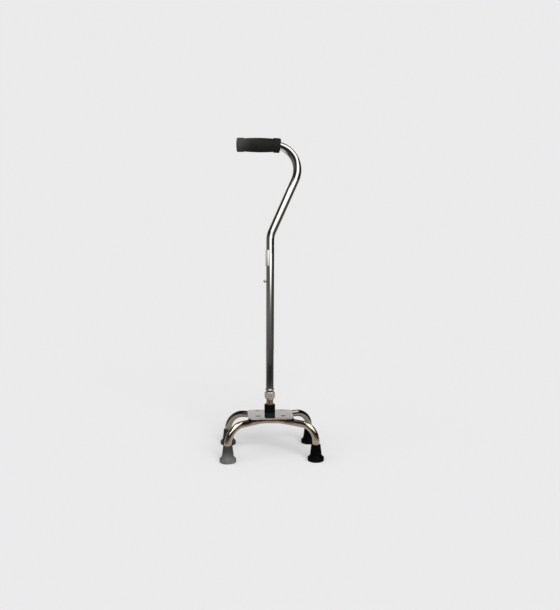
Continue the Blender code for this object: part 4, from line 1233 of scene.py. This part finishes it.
def together(first, second):
    """Two shapes in one mesh."""
    mesh = bpy.data.meshes.new("second")
    second.to_mesh(mesh)
    second.free()
    first.from_mesh(mesh)
    bpy.data.meshes.remove(mesh)
    return first


ferrule_build = moved(together(turned(ferrule_corners), thread_ridge()), (0, STEM_Y, 0))
finished("threaded_ferrule", ferrule_build, "handle", ferrule_chrome, ["shaft_ferrule"])

# %% Lock nut
NUT_BOTTOM = 0.1196375
NUT_HEIGHT = 0.0185
NUT_FLATS = 0.0216
NUT_LIP = 0.0032
NUT_CONES = (math.tan(math.radians(44)), math.tan(math.radians(57)))    # on top and below
NUT_FACES = (0.0100, 0.0088)    # radius of the round face on top and below
NUT_CORNER = NUT_FLATS / math.sqrt(3)   # from the axis to a corner of the hexagon
NUT_SHARP = 24
THREAD_BORE = SPIGOT_RADIUS + 0.0002
OVERCUT = 0.001                 # how far a cutter passes the piece at each end


def nut_blank():
    reach = NUT_CORNER + GAP
    top_drop, bottom_rise = [(reach - face) * cone for face, cone in zip(NUT_FACES, NUT_CONES)]
    return turned([(0, NUT_HEIGHT, 0), (NUT_FACES[0], NUT_HEIGHT, 0.0004),
                   (reach, NUT_HEIGHT - top_drop, 0), (reach, bottom_rise, 0),
                   (NUT_FACES[1], 0, 0.0004), (0, 0, 0)], sides=96)


def nut_bore():
    top = NUT_HEIGHT + OVERCUT
    return turned([(0, top, 0), (THREAD_BORE, top, 0), (THREAD_BORE, NUT_LIP, 0),
                   (SLIDING_BORE, NUT_LIP, 0), (SLIDING_BORE, -OVERCUT, 0), (0, -OVERCUT, 0)])


hexagon = bmesh.new()
nut_middle = Matrix.Translation((0, STEM_Y, NUT_BOTTOM + NUT_HEIGHT / 2))
add_bar(hexagon, NUT_CORNER, NUT_HEIGHT + 3 * OVERCUT, 6,
        nut_middle @ Matrix.Rotation(math.pi / 6, 4, "Z"))
nut = finished("hex_lock_nut", hexagon, "nut", satin_nickel, ["lock_nut"])
cut(nut, moved(nut_blank(), (0, STEM_Y, NUT_BOTTOM)), "INTERSECT", NUT_SHARP)
cut(nut, moved(nut_bore(), (0, STEM_Y, NUT_BOTTOM)), "DIFFERENCE", NUT_SHARP)
print("nut faces", len(nut.data.polygons))

# %% [markdown]
# ## Snap button
# A pin with a round nose, lying along X, that stands out of the shaft's side.

# %% Snap button
BUTTON_RADIUS = 0.003175
BUTTON_PROUD = 0.0063
BUTTON_BASE = 0.0063808         # from the axis out to the flat end inside the stem
NOSE_STEPS = 12


def button_section():
    length = SHAFT_RADIUS + BUTTON_PROUD - BUTTON_BASE
    section = [(0, length, 0)]
    for k in range(1, NOSE_STEPS + 1):
        angle = math.pi / 2 * (1 - k / NOSE_STEPS)
        section.append((BUTTON_RADIUS * math.cos(angle),
                        length - BUTTON_RADIUS * (1 - math.sin(angle)), 0))
    return section + [(BUTTON_RADIUS, 0, 0.0002), (0, 0, 0)]


button_build = turned(button_section(), sides=48, steps=2)
button_place = Matrix.Translation((-BUTTON_BASE, STEM_Y, BUTTON_HEIGHT))
bmesh.ops.transform(button_build, matrix=button_place @ Matrix.Rotation(-math.pi / 2, 4, "Y"),
                    verts=button_build.verts)
finished("round_nosed_button", button_build, "button", button_nickel, ["snap_button"])

# %% [markdown]
# ## Button spring
# Inside the stem a leaf of spring steel, bent to a V, pushes the button out. Its point hangs below,
# one leg carries the button and the other bears on the wall. The real leg follows the button when
# it is pressed; here the leaf keeps its resting shape.

# %% Spring leaf
LEAF_WIDTH = 0.0060
LEAF_THICKNESS = 0.0007
LEAF_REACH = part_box("snap_spring")[1][0] - LEAF_THICKNESS / 2   # to the middle of each leg
LEAF_POINT = 0.0017             # half the width of the V's point
LEAF_TOP = 0.007                # these three are heights above the button
LEAF_SHOULDER = -0.009
LEAF_BOTTOM = -0.044
LEAF_BENDS = (0.006, 0.0014)    # radii at the shoulders and at the point

leaf_half = [(LEAF_REACH, LEAF_TOP, 0), (LEAF_REACH, LEAF_SHOULDER, LEAF_BENDS[0]),
             (LEAF_POINT, LEAF_BOTTOM, LEAF_BENDS[1])]
leaf_corners = [(-x, z, bend) for x, z, bend in leaf_half] + leaf_half[::-1]
leaf_build = bmesh.new()
leaf_verts = [leaf_build.verts.new((x, STEM_Y - LEAF_WIDTH / 2, BUTTON_HEIGHT + z))
              for x, z in rounded_section(leaf_corners, 8)]
leaf_edges = [leaf_build.edges.new(pair) for pair in zip(leaf_verts, leaf_verts[1:])]
swept = bmesh.ops.extrude_edge_only(leaf_build, edges=leaf_edges)["geom"]
bmesh.ops.translate(leaf_build, vec=(0, LEAF_WIDTH, 0), verts=verts_of(swept))
leaf = finished("leaf_spring", leaf_build, None, spring_steel, ["snap_spring"])
thicken(leaf, LEAF_THICKNESS, 0.0)
settle(leaf)
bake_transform(leaf)
print("leaf", [round(c, 5) for c in leaf.dimensions], "reach", round(LEAF_REACH, 6))

# %% [markdown]
# ## Rubber tips
# A tip is a tapered cup over the leg's end that flares to a wide foot, with rings cut in its sole
# and a washer inside. It is turned from one half section. The grey one is older and dustier.

# %% Rubber tips
TIP_HEIGHT = 0.0375
TIP_RIM_RADIUS = 0.0104
TIP_SHOULDER = (0.0131, 0.0152)
TIP_FLANGE_RADIUS = 0.0184
TIP_FLANGE_TOP = 0.0088
TIP_EDGE = 0.0026
TIP_SOLE = 0.0085
TREAD_RINGS = [(0.0126, 0.0104), (0.0084, 0.0062)]     # outer and inner radius of each groove
TREAD_DEPTH = 0.0012
FLANGE_LINES = (0.0068, 0.0050)         # heights of the two fine grooves round the foot
FLANGE_LINE = (0.0004, 0.00025)         # half their width, and their depth
FLARE_STEPS = 8


def tip_section():
    socket = LEG_RADIUS + GAP
    section = [(0, TIP_SOLE, 0), (socket, TIP_SOLE, 0), (socket, TIP_HEIGHT, 0.0003),
               (TIP_RIM_RADIUS, TIP_HEIGHT, 0.0007), (TIP_SHOULDER[0], TIP_SHOULDER[1], 0.0015)]
    for k in range(1, FLARE_STEPS):
        share = k / FLARE_STEPS
        flare = 1 - math.cos(share * math.pi / 2)
        section.append((TIP_SHOULDER[0] + (TIP_FLANGE_RADIUS - TIP_SHOULDER[0]) * flare,
                        TIP_SHOULDER[1] - (TIP_SHOULDER[1] - TIP_FLANGE_TOP) * share, 0))
    section += [(TIP_FLANGE_RADIUS, TIP_FLANGE_TOP, 0.0012)]
    half, depth = FLANGE_LINE
    for line in FLANGE_LINES:
        section += [(TIP_FLANGE_RADIUS, line + half, 0), (TIP_FLANGE_RADIUS - depth, line, 0),
                    (TIP_FLANGE_RADIUS, line - half, 0)]
    section += [(TIP_FLANGE_RADIUS, 0, TIP_EDGE)]
    for outer, inner in TREAD_RINGS:
        section += [(outer, 0, 0.0002), (outer - 0.0002, TREAD_DEPTH, 0.0002),
                    (inner + 0.0002, TREAD_DEPTH, 0.0002), (inner, 0, 0.0002)]
    return section + [(0, 0, 0)]


# the rear left tip's lighter finish is painted light from the left
TIP_FINISHES = {"front_left": (tip_grey, "grey_rubber"), "front_right": (tip_black, "black_rubber"),
                "rear_left": (tip_black_painted_light, "black_rubber"), "rear_right": (tip_black, "black_rubber")}

for end, (_, foot_y) in LEG_PLAN.items():
    for side, x in (("left", -FOOT_TRACK / 2), ("right", FOOT_TRACK / 2)):
        corner = f"{end}_{side}"
        finish, slot = TIP_FINISHES[corner]
        cup = moved(turned(tip_section(), sides=72), (x, foot_y, 0))
        tip = finished(f"flared_tip_{corner}", cup, "base", finish, [f"foot_tip_{corner}"],
                       38)
        print(tip.name, "faces", len(tip.data.polygons))

# %% [markdown]
# ## Blank label
# A strip of paper goes half round the shaft over the button. Nothing is printed on it. It is a flat
# rectangle with rounded corners, cut into narrow strips and rolled round the shaft.

# %% Blank label
LABEL_HEIGHTS = (0.4350, 0.4720)
LABEL_ANGLES = (math.radians(-176), math.radians(-17))  # from behind, round the left, to the front
LABEL_LIFT = 0.0011             # how far it has come loose on the left
LABEL_LOOSE = 1.25              # the higher, the narrower the part that has come loose
LABEL_EDGE_X = (-0.0064, -0.0060)       # the sheet is darker outside the first of these
LABEL_CORNER = 0.0016
LABEL_STRIPS = 40
PAPER = 0.00012
GLUE = 0.00008


def label_sheet():
    build = bmesh.new()
    radius = SHAFT_RADIUS + GLUE
    width = radius * (LABEL_ANGLES[1] - LABEL_ANGLES[0])
    height = LABEL_HEIGHTS[1] - LABEL_HEIGHTS[0]
    bmesh.ops.create_grid(build, x_segments=1, y_segments=1, size=0.5)
    bmesh.ops.scale(build, vec=(width, height, 1), verts=build.verts)
    bmesh.ops.bevel(build, geom=build.verts[:], offset=LABEL_CORNER, segments=6, profile=0.5,
                    affect="VERTICES", material=-1)
    for k in range(1, LABEL_STRIPS):
        x = width * (k / LABEL_STRIPS - 0.5)
        bmesh.ops.bisect_plane(build, geom=build.verts[:] + build.edges[:] + build.faces[:],
                               plane_co=(x, 0, 0), plane_no=(1, 0, 0), dist=1e-7)
    middle = sum(LABEL_ANGLES) / 2
    for vert in build.verts:
        angle = middle + vert.co.x / radius
        out = radius + max(0.0, math.cos((angle - middle) * LABEL_LOOSE)) ** 2 * LABEL_LIFT
        vert.co = (out * math.sin(angle), STEM_Y - out * math.cos(angle),
                   sum(LABEL_HEIGHTS) / 2 + vert.co.y)
    bmesh.ops.recalc_face_normals(build, faces=build.faces)
    return build


def paper_finish():
    material, tree = new_material("cream_paper")
    place = object_place(tree)
    fibres = add(tree, "TexNoise", place, Scale=2600.0, Detail=4.0, Roughness=0.7)
    stain = add(tree, "TexNoise", place, Scale=90.0, Detail=3.0)
    stained = add(tree, "MapRange", stain, From_Min=0.42, From_Max=0.75, To_Max=0.12)
    strip = add(tree, "MapRange", add(tree, "SeparateXYZ", place).outputs["X"], *LABEL_EDGE_X)
    field = blended(tree, strip, (0.34, 0.315, 0.265, 1), (0.52, 0.50, 0.45, 1))
    tone = blended(tree, stained, field, (0.40, 0.34, 0.25, 1))
    return shaded(material, tone, 0.55, fibres, STEEL_RELIEF)


label = finished("blank_label", label_sheet(), "handle", paper_finish(), (), 60)
thicken(label, PAPER, 1.0, even=False)
print("label", round((LABEL_HEIGHTS[1] - LABEL_HEIGHTS[0]) * 1000, 1), "mm high")

# %% [markdown]
# ## Pieces that keep their plain solids
# The collet, the guide cap, the washers and the weld in the sleeve are small and mostly
# inside. Their shapes are right as they are, so they only get their finishes.

# %% Finishes on the kept solids
KEPT = {"stem_weld": weld_metal, "stem_guide_cap": white_nylon, "lock_collet": white_nylon}
KEPT.update({f"tip_washer_{corner}": washer_steel for corner in TIP_FINISHES})
for name, material in KEPT.items():
    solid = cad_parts[name]
    for slot in solid.material_slots:
        slot.material = material
    print(name, [s.material.name for s in solid.material_slots])

# %% [markdown]
# ## View transform
# The view transform is the plain one, so that colours come out as they are written.

# %% View transform
bpy.context.scene.view_settings.view_transform = "Standard"
